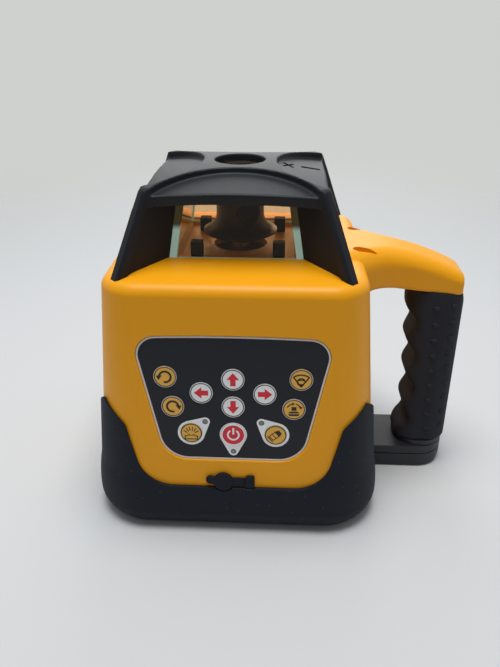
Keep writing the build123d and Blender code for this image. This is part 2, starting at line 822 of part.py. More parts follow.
def base_tray(tray):
    """Tray under the housing with bosses, battery compartment, tripod seat and foot arm."""
    pad_corner = tray_pad_half - corner_axis
    pad = RectangleRounded(2 * tray_pad_half, 2 * tray_pad_half, pad_corner)
    pad = upright_prism(pad, tray_pad_low, sole_thickness)
    seat = rod(tripod_plate_radius + tripod_seat_wall, tray_floor, tray_floor + tripod_seat_height)
    compartment = battery_box(cover_half_width - cell_pitch + battery_half_length, cover_half_width,
                              tray_floor, compartment_top + compartment_wall)
    ear_top = tray_floor + cover_screw_length
    ears = [rod(boss_radius, tray_floor, ear_top, x, y) for x, y in cover_screw_places()]
    bosses = case_screw_holes(boss_radius, tray_floor, boss_top)
    body = (tray - tray_cavity()) + [pad, seat, compartment, foot_arm()] + ears + bosses
    head = screw_head_radius + part_clearance
    hole = screw_radius + screw_clearance
    cuts = [battery_box(battery_half_length, battery_half_width, 0, compartment_top)]
    cuts.append(battery_box(cover_half_length + pane_gap, cover_half_width + pane_gap, 0, cover_top))
    cuts.append(rod(tripod_plate_radius + part_clearance, 0, tripod_plate_thickness))
    cuts.append(rod(tripod_hub_radius + part_clearance, 0, tripod_hub_top))
    for x, y in tripod_screw_places():
        cuts.append(rod(hole, 0, tripod_screw_length, x, y))
    for x, y in cover_screw_places():
        cuts.append(rod(hole, 0, ear_top - screw_head_height, x, y))
    cuts += case_screw_holes(head, 0, sole_thickness + screw_head_height)
    cuts += case_screw_holes(hole, 0, boss_top)
    cuts.append(rod(head, 0, foot_rise + 2 * screw_head_height, grip_axis))
    cuts.append(rod(hole, 0, collar_top, grip_axis))
    return body - cuts


def tripod_plate():
    """Metal plate and hub with the bore of the tripod thread."""
    plate = rod(tripod_plate_radius, 0, tripod_plate_thickness) + rod(tripod_hub_radius, 0, tripod_hub_top)
    cuts = [rod(thread_radius, 0, thread_depth)]
    for x, y in tripod_screw_places():
        cuts.append(rod(screw_radius + screw_clearance, 0, tripod_plate_thickness, x, y))
        cuts.append(rod(screw_head_radius + part_clearance, 0, screw_head_height, x, y))
    return plate - cuts


def screw(x, y, low, length):
    """Cap screw pointing upwards, its head at the bottom."""
    head = rod(screw_head_radius, low, low + screw_head_height, x, y)
    return head + rod(screw_radius, low, low + length, x, y)


def base_screws():
    """Screws of the tripod plate, case, battery cover and handle."""
    screws = [screw(x, y, 0, tripod_screw_length) for x, y in tripod_screw_places()]
    case_length = boss_top + lug_screw_depth - sole_thickness
    screws += four_ways(screw(boss_offset, boss_offset, sole_thickness, case_length))
    cover_end = tray_floor + cover_screw_length - screw_head_height
    screws += [screw(x, y, tray_pad_low, cover_end - tray_pad_low) for x, y in cover_screw_places()]
    screws.append(screw(grip_axis, 0, foot_rise + screw_head_height, handle_screw_length))
    return Part() + screws


def battery_cover():
    """Cover of the battery compartment, flush with the tray's underside."""
    cover = battery_box(cover_half_length, cover_half_width, tray_pad_low, cover_top)
    cover = fillet(cover.edges().filter_by(Axis.Z), compartment_wall)
    cuts = []
    for x, y in cover_screw_places():
        cuts.append(rod(screw_radius + screw_clearance, 0, cover_top, x, y))
        cuts.append(rod(screw_head_radius + part_clearance, 0, tray_pad_low + screw_head_height, x, y))
    return cover - cuts


def cell_places():
    """Cross sections of the four cells."""
    rows = (battery_middle - cell_pitch / 2, battery_middle + cell_pitch / 2)
    return [(y, z) for y in rows for z in (lower_cell, lower_cell + cell_pitch)]


def battery_cells():
    """Four round cells lying along X, two rows of two."""
    cells = []
    for y, z in cell_places():
        body = rod_along("x", cell_radius, -cell_length / 2, cell_length / 2 - cell_nub, 0)
        nub = rod_along("x", cell_radius / 3, 0, cell_length / 2, 0)
        cells.append(Pos(0, y, z) * (body + nub))
    return Part() + cells


def battery_contacts():
    """Contact plates on the compartment's end walls, one for each row."""
    plates = []
    for y in (battery_middle - cell_pitch / 2, battery_middle + cell_pitch / 2):
        for side in (-1, 1):
            x = side * (battery_half_length - contact_thickness / 2)
            plate = Box(contact_thickness, contact_width, cell_pitch + contact_width)
            plates.append(Pos(x, y, lower_cell + cell_pitch / 2) * plate)
    return Part() + plates


def chassis_plate():
    """Plate on the corner lugs that carries the levelling works."""
    plan = RectangleRounded(2 * chassis_half, 2 * chassis_half, chassis_corner_radius)
    slot = SlotOverall(2 * bracket_half_width, bracket_window_half)
    slot = Pos(0, -(chassis_half + tilt_arm_reach) / 2) * slot
    return upright_prism(plan - slot, chassis_height, chassis_top)


def gimbal_brackets():
    """Two arched brackets with a window and a bore for the ring's pins."""
    foot = Pos(0, chassis_top + bracket_foot / 2) * Rectangle(2 * bracket_half_width, bracket_foot)
    outline = make_hull((foot + Pos(0, gimbal_height) * Circle(bracket_rise)).edges())
    window_low = chassis_top + bracket_window_sill
    window_high = tilt_arm_height + bracket_window_rise
    window = RectangleRounded(2 * bracket_window_half, window_high - window_low, bracket_window_radius)
    window = Pos(0, (window_low + window_high) / 2) * window
    bore = Pos(0, gimbal_height) * Circle(pivot_radius + running_gap)
    plate = extrude(Plane.YZ * (outline - window - bore), bracket_thickness / 2, both=True)
    low = (-bracket_thickness / 2 - bracket_foot, -bracket_half_width, chassis_top)
    high = (bracket_thickness / 2, bracket_half_width, chassis_top + bracket_foot)
    bracket = Pos(bracket_x, 0, 0) * (plate + box_between(low, high))
    return Part() + [bracket, Rot(0, 0, 180) * bracket]


def gimbal_ring():
    """Ring with two pins along X and two bores along Y."""
    ring_low = gimbal_height - ring_height / 2
    ring = rod(ring_outer, ring_low, ring_low + ring_height)
    pin_end = bracket_x + bracket_thickness / 2
    ring = ring + rod_along("x", pivot_radius, -pin_end, pin_end, gimbal_height)
    hole = rod(ring_inner, ring_low, ring_low + ring_height)
    bore = rod_along("y", pivot_radius + running_gap, -ring_outer, ring_outer, gimbal_height)
    return ring - [hole, bore]


def laser_tube():
    """Tube with a closed foot flange, a bore for the works and two pins along Y."""
    pin_end = (ring_inner + ring_outer) / 2
    tube = rod(tube_radius, tube_low, tube_top) + rod(flange_radius, tube_low, tube_low + tube_floor)
    tube = tube + rod_along("y", pivot_radius, -pin_end, pin_end, gimbal_height)
    return tube - [rod(tube_bore, module_low, tube_top), rod(tube_cable_hole, tube_low, module_low)]


def laser_module():
    """Laser diode module on the tube's floor."""
    module = rod(tube_bore - running_gap, module_low, module_top)
    return module - rod(tube_cable_hole, module_top - tube_cable_hole, module_top)


def collimator_lens():
    """Lens on top of the laser module, domed upwards."""
    lens_top = module_top + lens_thickness
    disc = rod(tube_bore - running_gap, module_top, lens_top)
    dome = Pos(0, 0, lens_top - 2 * tube_bore) * Sphere(2 * tube_bore)
    return disc & dome


def spindle_bearings():
    """Two bearings in the tube that carry the spindle."""
    bearings = []
    for low in (lower_bearing, upper_bearing):
        outer = rod(tube_bore - seat_clearance, low, low + bearing_width)
        bearings.append(outer - rod(spindle_radius + seat_clearance, low, low + bearing_width))
    return Part() + bearings


def tilt_arms():
    """Clamp ring on the tube with two arms that rest on the levelling nuts."""
    low = tilt_arm_height - clamp_height / 2
    clamp = rod(tube_radius + clamp_thickness, low, low + clamp_height)
    start = tube_radius + clamp_thickness / 2
    arm_x = rod_along("x", tilt_arm_radius, -tilt_arm_reach, -start, tilt_arm_height)
    arm_y = rod_along("y", tilt_arm_radius, start, tilt_arm_reach, tilt_arm_height)
    tips = [Pos(*place, tilt_arm_height) * Sphere(tilt_tip_radius)
            for place in ((-tilt_arm_reach, 0), (0, tilt_arm_reach))]
    return (clamp + [arm_x, arm_y] + tips) - rod(tube_radius, low, low + clamp_height)


def motor_plate():
    """Plate on the tube's top that carries the spin motor."""
    around_tube = Circle(tube_radius + motor_plate_rim)
    around_motor = Pos(0, -motor_reach) * Circle(motor_radius + motor_plate_rim)
    plan = make_hull((around_tube + around_motor).edges())
    plan = plan - Circle(spindle_radius + part_clearance)
    plan = plan - Pos(0, -motor_reach) * Circle(motor_shaft_radius + part_clearance)
    return upright_prism(plan, motor_plate_low, motor_plate_low + motor_plate_thickness)


def spin_motor():
    """Small motor hanging under its plate."""
    low = motor_plate_low - motor_length
    motor = rod(motor_radius, low, motor_plate_low, 0, -motor_reach)
    return motor - rod(motor_shaft_radius + part_clearance, low, motor_plate_low, 0, -motor_reach)


def level_vials():
    """Two level vials at right angles under the tube's flange."""
    vial = rod_along("x", vial_radius, -vial_length / 2, vial_length / 2, tube_low - vial_radius)
    saddle_low = (-vial_length / 2, -vial_radius, tube_low - vial_radius)
    vial = vial + box_between(saddle_low, (vial_length / 2, vial_radius, tube_low))
    along_x = Pos(0, -vial_offset, 0) * vial
    along_y = Pos(vial_offset, vial_radius, 0) * (Rot(0, 0, 90) * vial)
    return Part() + [along_x, along_y]


def belt_loop(big_radius, small_radius):
    """Plan of a loop round the two pulleys."""
    return make_hull((Circle(big_radius) + Pos(0, -motor_reach) * Circle(small_radius)).edges())


def drive_belt():
    """Belt between the motor pulley and the spindle pulley."""
    big = big_pulley_radius + belt_gap
    small = small_pulley_radius + belt_gap
    plan = belt_loop(big + belt_thickness, small + belt_thickness) - belt_loop(big, small)
    return upright_prism(plan, belt_low, belt_low + belt_width)


def pulley(radius, bore):
    """Grooved pulley with two flanges and a bore."""
    high = pulley_low + pulley_height
    rim = radius + pulley_flange_rim
    flanges = [rod(rim, pulley_low, pulley_low + pulley_flange_thickness)]
    flanges.append(rod(rim, high - pulley_flange_thickness, high))
    wheel = rod(radius, pulley_low, high) + flanges
    return wheel - rod(bore, pulley_low, high) if bore else wheel


def motor_pulley():
    """Small pulley with the motor's shaft."""
    shaft = rod(motor_shaft_radius, motor_plate_low - motor_length / 2, pulley_low)
    return Pos(0, -motor_reach, 0) * (pulley(small_pulley_radius, 0) + shaft)


def spindle():
    """Hollow spindle from the lower bearing up into the rotor."""
    high = rotor_low + spindle_socket
    return rod(spindle_radius, spindle_low, high) - rod(spindle_bore, spindle_low, high)


def rotor_bell():
    """Rotor head: flared foot, round neck and a beam aperture."""
    rim_low = (rotor_disc_radius, rotor_low + rotor_rim_rise)
    disc_top = (rotor_disc_radius, rim_low[1] + rotor_disc_thickness)
    flare_top = disc_top[1] + rotor_flare_height
    edges = [Line((0, rotor_low), (rotor_neck_radius, rotor_low))]
    edges.append(Line((rotor_neck_radius, rotor_low), rim_low))
    edges.append(Line(rim_low, disc_top))
    edges.append(TangentArc((rotor_neck_radius, flare_top), disc_top, tangent=(0, -1)))
    edges.append(Line((rotor_neck_radius, flare_top), (rotor_neck_radius, rotor_top)))
    edges.append(Line((rotor_neck_radius, rotor_top), (0, rotor_top)))
    edges.append(Line((0, rotor_top), (0, rotor_low)))
    bell = revolve(Plane.XZ * make_face(edges), Axis.Z)
    aperture = rod_along("y", beam_radius, -rotor_disc_radius, 0, beam_height)
    cuts = [rod(rotor_neck_radius - rotor_wall, prism_seat, rotor_top - rotor_roof)]
    cuts.append(rod(rotor_top_hole, prism_seat, rotor_top))
    cuts.append(rod(spindle_radius, rotor_low, rotor_low + spindle_socket))
    cuts.append(rod(spindle_bore, rotor_low, prism_seat))
    cuts.append(Rot(0, 0, beam_turn) * aperture)
    return bell - cuts


def penta_prism():
    """Five-sided prism that turns the beam from upright to level."""
    size = prism_size
    long = size * sqrt(2)
    points = [(0, 0), (size, 0), (long, size), (size, long), (0, size)]
    section = Pos(-size / 2, prism_seat) * make_face(Polyline(*points, close=True))
    return Rot(0, 0, beam_turn) * extrude(Plane.YZ * section, size / 2, both=True)


def rotor_lens():
    """Lens in the beam aperture."""
    inner = rotor_neck_radius - rotor_wall - rotor_lens_thickness / 2
    lens = rod_along("y", beam_radius - pane_gap, -inner - rotor_lens_thickness, -inner, beam_height)
    return Rot(0, 0, beam_turn) * lens


def levelling_motors():
    """Two flat motors on the chassis under the tilt arms."""
    motor = rod(level_motor_radius, chassis_top, level_motor_top)
    return Part() + [Pos(-tilt_arm_reach, 0, 0) * motor, Pos(0, tilt_arm_reach, 0) * motor]


def guide_rods():
    """Rods that keep the levelling nuts from turning."""
    guide = rod(guide_radius, chassis_top, chassis_top + guide_length)
    reach = tilt_arm_reach + guide_offset
    return Part() + [Pos(-reach, 0, 0) * guide, Pos(0, reach, 0) * guide]


def lead_screw():
    """Lead screw on a levelling motor, at the spin axis."""
    return rod(lead_screw_radius, level_motor_top + lead_screw_gap, lead_screw_top)


def level_nut():
    """Capped nut with a guide lug pointing outwards along X, at the spin axis."""
    lug_radius = guide_radius + guide_wall
    lug = make_hull((Circle(lug_radius) + Pos(guide_offset, 0) * Circle(lug_radius)).edges())
    lug = upright_prism(lug, nut_low, nut_low + lug_thickness)
    nut = rod(nut_radius, nut_low, nut_top) + lug
    bore = rod(lead_screw_radius + running_gap, nut_low, nut_top - nut_cap)
    return nut - [bore, rod(guide_radius + running_gap, nut_low, nut_low + lug_thickness, guide_offset)]


def handle_core(arm):
    """Core of the handle between the foot arm and the upper arm."""
    core = rod(handle_core_radius, collar_top, grip_top, grip_axis) - arm
    screw_end = foot_rise + screw_head_height + handle_screw_length
    return core - rod(screw_radius + screw_clearance, collar_top, screw_end, grip_axis)


def finger_edge(inner, low, high):
    """Inner edge of the grip: a smooth wave of finger hollows and ridges."""
    points = []
    for ridge, inset in enumerate(ridge_insets):
        height = low + finger_foot + ridge * finger_pitch
        if points:
            middle = (inset + ridge_insets[ridge - 1]) / 2
            points.append((inner + middle + finger_depth, height - finger_pitch / 2))
        points.append((inner + inset, height))
    wave = Spline(*points, tangents=[(0, 1)] * len(points))
    return [Line((points[0][0], low), points[0]), wave, Line(points[-1], (points[-1][0], high))]


def handle_grip(arm):
    """Rubber grip with finger hollows on its inner side, its top following the arm."""
    plan = Pos(grip_middle, 0) * RectangleRounded(grip_depth, grip_width, grip_corner_radius)
    inner = grip_axis - grip_inner
    outer = grip_axis + grip_outer
    wave = finger_edge(inner, collar_top, grip_top)
    outer_top = (outer - grip_top_inset, grip_top - grip_depth * grip_top_fall)
    bend = (outer, grip_top - grip_top_bend)
    foot = wave[0].start_point()
    head = wave[-1].end_point()
    rest = [Line(head, outer_top), TangentArc(bend, outer_top, tangent=(0, 1))]
    rest += [Line(bend, (outer, collar_top)), Line((outer, collar_top), foot)]
    side = make_face(wave + rest)
    block = extrude(Plane.XZ * side, grip_width, both=True)
    grip = upright_prism(plan, collar_top, grip_top) & block
    return grip - [arm, rod(handle_core_radius, collar_top, grip_top, grip_axis)]


def key_size(name):
    """Radius of a key."""
    if name == "key_power":
        return power_key_radius
    return small_key_radius if name in small_keys else key_radius


def keypad_panel():
    """Panel in the front recess with a hole for each key and light."""
    panel = front_slab(offset(panel_outline(), -panel_clearance), panel_recess, panel_back)
    cuts = []
    for name, (x, rise) in key_places.items():
        cuts.append(front_rod(key_size(name) + key_clearance, -wall, wall, x, rise))
    for x, rise in light_places:
        cuts.append(front_rod(light_radius + light_clearance, -wall, wall, x, rise))
    return panel - cuts


def key(name):
    """Round key with a stem that reaches towards its switch."""
    x, rise = key_places[name]
    cap = front_rod(key_size(name), key_front, key_back, x, rise)
    return cap + front_rod(key_stem_radius, key_back, key_stem_end, x, rise)


def control_board():
    """Board on the standoffs behind the keypad."""
    plan = RectangleRounded(board_width, board_height, standoff_radius)
    return front_slab(plan, board_depth, board_depth + board_thickness)


def dome_switches():
    """Switch under each key, on the board."""
    places = key_places.values()
    return Part() + [front_rod(switch_radius, switch_depth, board_depth, *place) for place in places]


def indicator_lights():
    """Lights from the board to the panel's face."""
    return Part() + [front_rod(light_radius, panel_recess, board_depth, *place) for place in light_places]


def charge_socket():
    """Round charge socket with a centre pin."""
    barrel = front_rod(port_barrel_radius, 0, port_length, port_x, port_rise)
    flange_end = wall_depth + port_flange_thickness
    flange = front_rod(port_flange_radius, wall_depth, flange_end, port_x, port_rise)
    bore = front_rod(port_bore_radius, 0, port_bore_depth, port_x, port_rise)
    pin = front_rod(port_pin_radius, port_bore_depth - port_pin_length, port_bore_depth, port_x, port_rise)
    return ((barrel + flange) - bore) + pin


def port_plug():
    """Rubber plug with a pull tab and a strap that swings at its end."""
    place = front_place(port_x, port_rise)
    cap = front_slab(place * Circle(plug_radius), -plug_thickness, 0)
    stem = front_slab(place * Circle(plug_stem_radius), 0, plug_stem_length)
    tab_tip = Pos(plug_tab_width / 2 - plug_tab_reach, plug_tab_width / 4) * Circle(plug_tab_width / 2)
    tab = make_hull((tab_tip + Circle(plug_tab_width / 2)).edges())
    tab = front_slab(place * tab, -plug_thickness, -strap_lift)
    strap = Pos(hinge_reach / 2, 0) * Rectangle(hinge_reach, strap_width)
    strap = front_slab(place * strap, -strap_lift - strap_thickness, -strap_lift)
    knuckle = Plane.XZ * (Pos(hinge_reach, 0) * Circle(strap_thickness / 2))
    knuckle = extrude(knuckle, strap_width / 2, both=True)
    knuckle = front_plane(-strap_lift - strap_thickness / 2) * (place * knuckle)
    return cap + [stem, tab, strap, knuckle]


def plug_anchor():
    """Pad that holds the end of the plug's strap, with a peg through the wall."""
    place = front_place(anchor_middle(), port_rise)
    pad = front_slab(anchor_plan(), -anchor_thickness, 0)
    return pad + front_slab(place * Circle(anchor_peg_radius), 0, wall_depth + anchor_peg_radius)


def build_nodes():
    """Every separate piece of the level, by name."""
    envelope = body_envelope()
    arm = handle_arm()
    tray = tray_envelope()
    to_x = Pos(-tilt_arm_reach, 0, 0) * Rot(0, 0, 180)
    to_y = Pos(0, tilt_arm_reach, 0) * Rot(0, 0, 90)
    nodes = {
        "main_housing": main_housing(envelope, arm),
        "head_cage": head_cage(envelope),
        "top_window": top_window(),
        "deck_buffers": deck_buffers(),
        "rubber_bumper": rubber_bumper(envelope, tray),
        "base_tray": base_tray(tray),
        "tripod_plate": tripod_plate(),
        "base_screws": base_screws(),
        "battery_cover": battery_cover(),
        "battery_cells": battery_cells(),
        "battery_contacts": battery_contacts(),
        "chassis_plate": chassis_plate(),
        "gimbal_brackets": gimbal_brackets(),
        "gimbal_ring": gimbal_ring(),
        "laser_tube": laser_tube(),
        "laser_module": laser_module(),
        "collimator_lens": collimator_lens(),
        "spindle_bearings": spindle_bearings(),
        "tilt_arms": tilt_arms(),
        "motor_plate": motor_plate(),
        "spin_motor": spin_motor(),
        "level_vials": level_vials(),
        "drive_belt": drive_belt(),
        "motor_pulley": motor_pulley(),
        "spindle": spindle(),
        "spindle_pulley": pulley(big_pulley_radius, spindle_radius),
        "rotor_bell": rotor_bell(),
        "penta_prism": penta_prism(),
        "rotor_lens": rotor_lens(),
        "levelling_motors": levelling_motors(),
        "guide_rods": guide_rods(),
        "level_screw_x": to_x * lead_screw(),
        "level_screw_y": to_y * lead_screw(),
        "level_nut_x": to_x * level_nut(),
        "level_nut_y": to_y * level_nut(),
        "handle_core": handle_core(arm),
        "handle_grip": handle_grip(arm),
        "keypad_panel": keypad_panel(),
        "control_board": control_board(),
        "dome_switches": dome_switches(),
        "indicator_lights": indicator_lights(),
        "charge_socket": charge_socket(),
        "port_plug": port_plug(),
        "plug_anchor": plug_anchor(),
    }
    nodes.update(window_panes())
    nodes.update({name: key(name) for name in key_places})
    return nodes


os.makedirs("parts", exist_ok=True)
for node_name, node_solid in build_nodes().items():
    export_step(node_solid, f"parts/{node_name}.step")
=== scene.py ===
import json
import math

import bpy
from mathutils import Matrix, Vector

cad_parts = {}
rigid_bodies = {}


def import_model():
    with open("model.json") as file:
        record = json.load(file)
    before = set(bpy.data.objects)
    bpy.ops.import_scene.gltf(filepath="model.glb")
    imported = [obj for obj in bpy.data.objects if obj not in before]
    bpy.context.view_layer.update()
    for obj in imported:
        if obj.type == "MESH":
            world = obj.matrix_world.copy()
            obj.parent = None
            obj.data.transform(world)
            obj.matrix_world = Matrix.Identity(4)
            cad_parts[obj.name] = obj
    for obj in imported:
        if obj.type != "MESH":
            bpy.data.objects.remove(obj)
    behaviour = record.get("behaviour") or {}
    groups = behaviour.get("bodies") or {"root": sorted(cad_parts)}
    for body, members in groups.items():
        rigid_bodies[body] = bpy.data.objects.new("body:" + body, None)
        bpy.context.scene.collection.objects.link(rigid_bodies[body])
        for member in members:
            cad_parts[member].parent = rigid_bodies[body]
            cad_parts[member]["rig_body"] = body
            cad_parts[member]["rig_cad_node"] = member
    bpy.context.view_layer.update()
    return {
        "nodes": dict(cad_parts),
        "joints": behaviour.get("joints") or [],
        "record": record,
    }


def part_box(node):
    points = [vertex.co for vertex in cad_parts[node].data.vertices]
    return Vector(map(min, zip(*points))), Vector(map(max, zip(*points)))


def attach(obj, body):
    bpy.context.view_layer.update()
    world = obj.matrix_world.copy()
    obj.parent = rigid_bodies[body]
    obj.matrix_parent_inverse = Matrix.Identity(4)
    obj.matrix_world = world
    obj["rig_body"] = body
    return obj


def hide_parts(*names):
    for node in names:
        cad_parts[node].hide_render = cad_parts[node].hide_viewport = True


bl_info = {
    "name": "Rotary laser level",
    "version": (1, 0, 0),
    "blender": (4, 5, 0),
    "location": "3D View > Sidebar > Laser level",
    "description": "Dresses the packed level: finishes, rubber pieces, glass, keypad prints and stage",
    "category": "Object",
}

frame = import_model()
mm = 0.001

# Floor's radius, and where it fades into the backdrop, in metres
floor_radius = 1.2
floor_fade = (0.3, 1.0)
# Lights: name, place, target and width in metres, and power in watts
lights = (
    ("softbox", (0.0, -0.1, 1.1), (0, -0.02, 0.1), 0.6, 9.0),
    ("back_light", (0.0, 1.1, 0.55), (0, 0, 0.15), 0.8, 3.4),
)
# Camera fitted to the photograph: place in millimetres, line of sight, roll in degrees and lens
camera_place = (23.56, -352.84, 263.52)
camera_sight = (-0.0466, 0.8902, -0.4531)
camera_roll = -0.17
camera_lens = 34.844

# All lengths from here on are in millimetres
# The housing's front face: its lean, and the keypad panel on it
wall_draft = 0.085
front_half = 73.077
panel_middle = 81.8
panel_recess = 0.9
panel_top_half = 51.7
panel_bottom_half = 36.8
panel_height = 71.6
panel_crown = 1.3
panel_corner_radius = 10.5
panel_foot_radius = 16.0
border_inset = 0.2
border_height = 0.12

# Keys: place on the front face from the panel's middle, radii and height over the panel
key_places = {
    "key_turn_left": (-34.8, 12.7),
    "key_turn_right": (-31.5, -4.3),
    "key_up": (0.0, 11.9),
    "key_down": (0.0, -3.8),
    "key_left": (-16.4, 4.0),
    "key_right": (16.4, 4.0),
    "key_scan": (34.8, 12.7),
    "key_speed": (31.5, -4.3),
    "key_tilt_alarm": (-22.3, -19.9),
    "key_power": (0.0, -20.4),
    "key_manual": (22.3, -19.9),
}
lamp_places = {"key_tilt_alarm": (-14.8, -13.0), "key_manual": (14.8, -13.0), "key_power": (0.0, -30.6)}
arrow_turns = {"key_up": 0, "key_left": 90, "key_down": 180, "key_right": 270}
key_radius = 5.9
small_key_radius = 5.6
power_key_radius = 6.5
key_proud = 0.3
# Rings on the keys: a pale halo over the key's wall, and a rim inside it
ring_proud = 0.03
halo_width = 0.27
rim_width = 0.5
small_rim_gap = 0.02
small_rim_width = 0.48
power_rim_width = 0.8
# Lamp drops: radius round the key and round the lamp, and the holes for both
drop_radius = 7.2
drop_lamp_radius = 2.5
drop_key_gap = 0.2
lamp_hole = 1.5
lamp_dome = 0.5

# Drop-shaped pockets on the handle arm's shoulders: both radii and reach, place and floor
pocket_drop = (3.1, 0.45, 9.5)
pocket_place = (65.1, 18.0)
pocket_floor = 140.5
pocket_cut = 6.0
flare_reach = 2.0
# Head cage: height up to which the fins' webs keep their crisp edges, and how the roof melts
web_top = 175.0
web_proud = 0.04
melt_fade = 8.0
roof_rounds = 12
cage_thinning = 0.25
# Axis mark in the roof: each part's place, its strokes' width and their ends
axis_mark = (
    ((26.2, 4.6), 1.7, [((-2.8, -4.3), (2.8, 4.3)), ((-2.8, 4.3), (2.8, -4.3))]),
    ((38.4, 5.6), 3.3, [((-5.2, 0), (5.2, 0))]),
)
mark_reach = 6.0
# Bumper's parting line
seam_height = 13.5
seam_half = 0.4
# Grip: rounds of melting, the soft side's fade, and its nubs; each column of nubs has its place, lean and top
grip_rounds = 6
finger_rounds = 100
finger_fade = 8.0
nub_half = (2.1, 1.5)
nub_rows = 9
nub_pitch = 10.2
nub_columns = ((112.05, 0.37, 109.9), (121.9, 0.31, 111.3))
# Small rubbers: node, body and rounding; and how far the plug's strap reaches on to its anchor
small_rubbers = (
    ("port_plug", "port_plug", 0.3),
    ("plug_anchor", "housing", 0.25),
    ("deck_buffers", "housing", 0.6),
)
strap_reach = 0.3
# Base screws: places and the height of each head's face; and the socket in each head
screw_places = [
    ([(x, y) for x in (-12.73, 12.73) for y in (-12.73, 12.73)], 0.0),
    ([(x, y) for x in (-54, 54) for y in (-54, 54)], 3.0),
    ([(-31.75, 43.5), (31.75, 43.5)], 1.0),
    ([(113.3, 0)], 3.5),
]
socket_radius = 1.6
socket_length = 2.6
# Tripod thread: radius of the bore, overlap, pitch, depth of the groove, half angle in degrees and turns
bore_radius = 6.8
bore_overlap = 0.2
thread_pitch = 2.309
thread_cut = 1.1
thread_half_angle = 30
thread_turns = 7


def linear(code):
    """Linear colour of an sRGB hex code."""
    parts = [int(code[start:start + 2], 16) / 255 for start in (0, 2, 4)]
    parts = [part / 12.92 if part <= 0.04045 else ((part + 0.055) / 1.055) ** 2.4 for part in parts]
    return (*parts, 1.0)


def colour(label, description, code):
    """A colour that a user may change."""
    return bpy.props.FloatVectorProperty(name=label, description=description, subtype="COLOR", size=4,
                                         min=0.0, max=1.0, default=linear(code))


def length(label, description, millimetres):
    """A length that a user may change."""
    return bpy.props.FloatProperty(name=label, description=description, unit="LENGTH", subtype="DISTANCE",
                                   min=0.0, default=millimetres * mm)


class LevelColours(bpy.types.PropertyGroup):
    """Colours of the level's finishes."""
    housing: colour("Housing", "Orange ABS of the housing and upper handle arm", "F2A40A")
    cage: colour("Head cage", "Black ABS of the head cage", "1E2025")
    tray: colour("Base tray", "Black ABS of the base tray and lower handle arm", "1D1F27")
    rubber: colour("Rubber", "Black rubber of the bumper, plug and buffers", "191E27")
    grip: colour("Grip", "Black rubber of the handle grip", "2A2B31")
    film: colour("Panel film", "Charcoal film of the keypad panel", "1F2027")
    border: colour("Panel border", "Pale printed border of the keypad panel", "DDD2CE")
    amber: colour("Amber keys", "Amber print of the function keys", "EDB445")
    white: colour("White keys", "White print of the arrow keys and lamp drops", "F4F3F3")
    red: colour("Red print", "Red print of the arrows and the power key", "DC2033")
    ink: colour("Ink", "Dark brown print of the key signs", "1E1712")
    # The ground edge's green, which the edge also gives off as a painted glow
    glass_edge: colour("Glass edge", "Ground edge of the window panes", "B4DCD2")
    rotor: colour("Rotor", "Dark brown plastic of the rotor head", "2A1412")
    floor: colour("Floor", "Paper of the floor", "CFD1D2")
    backdrop: colour("Backdrop", "What the camera, gloss and glass see behind the floor", "CFD1CE")


class LevelSizes(bpy.types.PropertyGroup):
    """Sizes of the level's dressed edges and prints."""
    cage_skin: length("Cage skin", "Mesh size of the head cage's moulded skin", 0.5)
    mark_depth: length("Mark depth", "Depth of the axis mark in the roof", 0.8)
    recess_edge: length("Recess edge", "Rounding of the housing round the keypad panel", 1.0)
    rubber_edge: length("Rubber edge", "Rounding of the bumper's rim", 0.6)
    seam_depth: length("Seam depth", "Depth of the parting line round the bumper", 0.18)
    grip_skin: length("Grip skin", "Mesh size of the grip's soft skin", 0.8)
    pane_edge: length("Pane edge", "Ground bevel round each window pane", 0.35)
    print_height: length("Print height", "Thickness of the keypad's prints", 0.06)
    border_width: length("Border width", "Width of the keypad panel's border", 0.9)
    nub_height: length("Nub height", "Height of the grip's nubs", 1.2)


def feed(tree, node, inputs):
    """Set or link a node's inputs."""
    for name, value in inputs.items():
        if isinstance(value, bpy.types.NodeSocket):
            tree.links.new(value, node.inputs[name])
        else:
            node.inputs[name].default_value = value


def add_node(tree, kind, inputs, **settings):
    """Add a node with its settings and inputs, and give its outputs."""
    node = tree.nodes.new("ShaderNode" + kind)
    for name, value in settings.items():
        setattr(node, name, value)
    feed(tree, node, inputs)
    return node.outputs


def new_material(name):
    """A material with one principled shader."""
    material = bpy.data.materials.new(name)
    material.use_nodes = True
    return material, material.node_tree, material.node_tree.nodes["Principled BSDF"]


def shaded(rgba, factor):
    """A colour made lighter or darker."""
    return (*[min(1.0, part * factor) for part in rgba[:3]], 1.0)


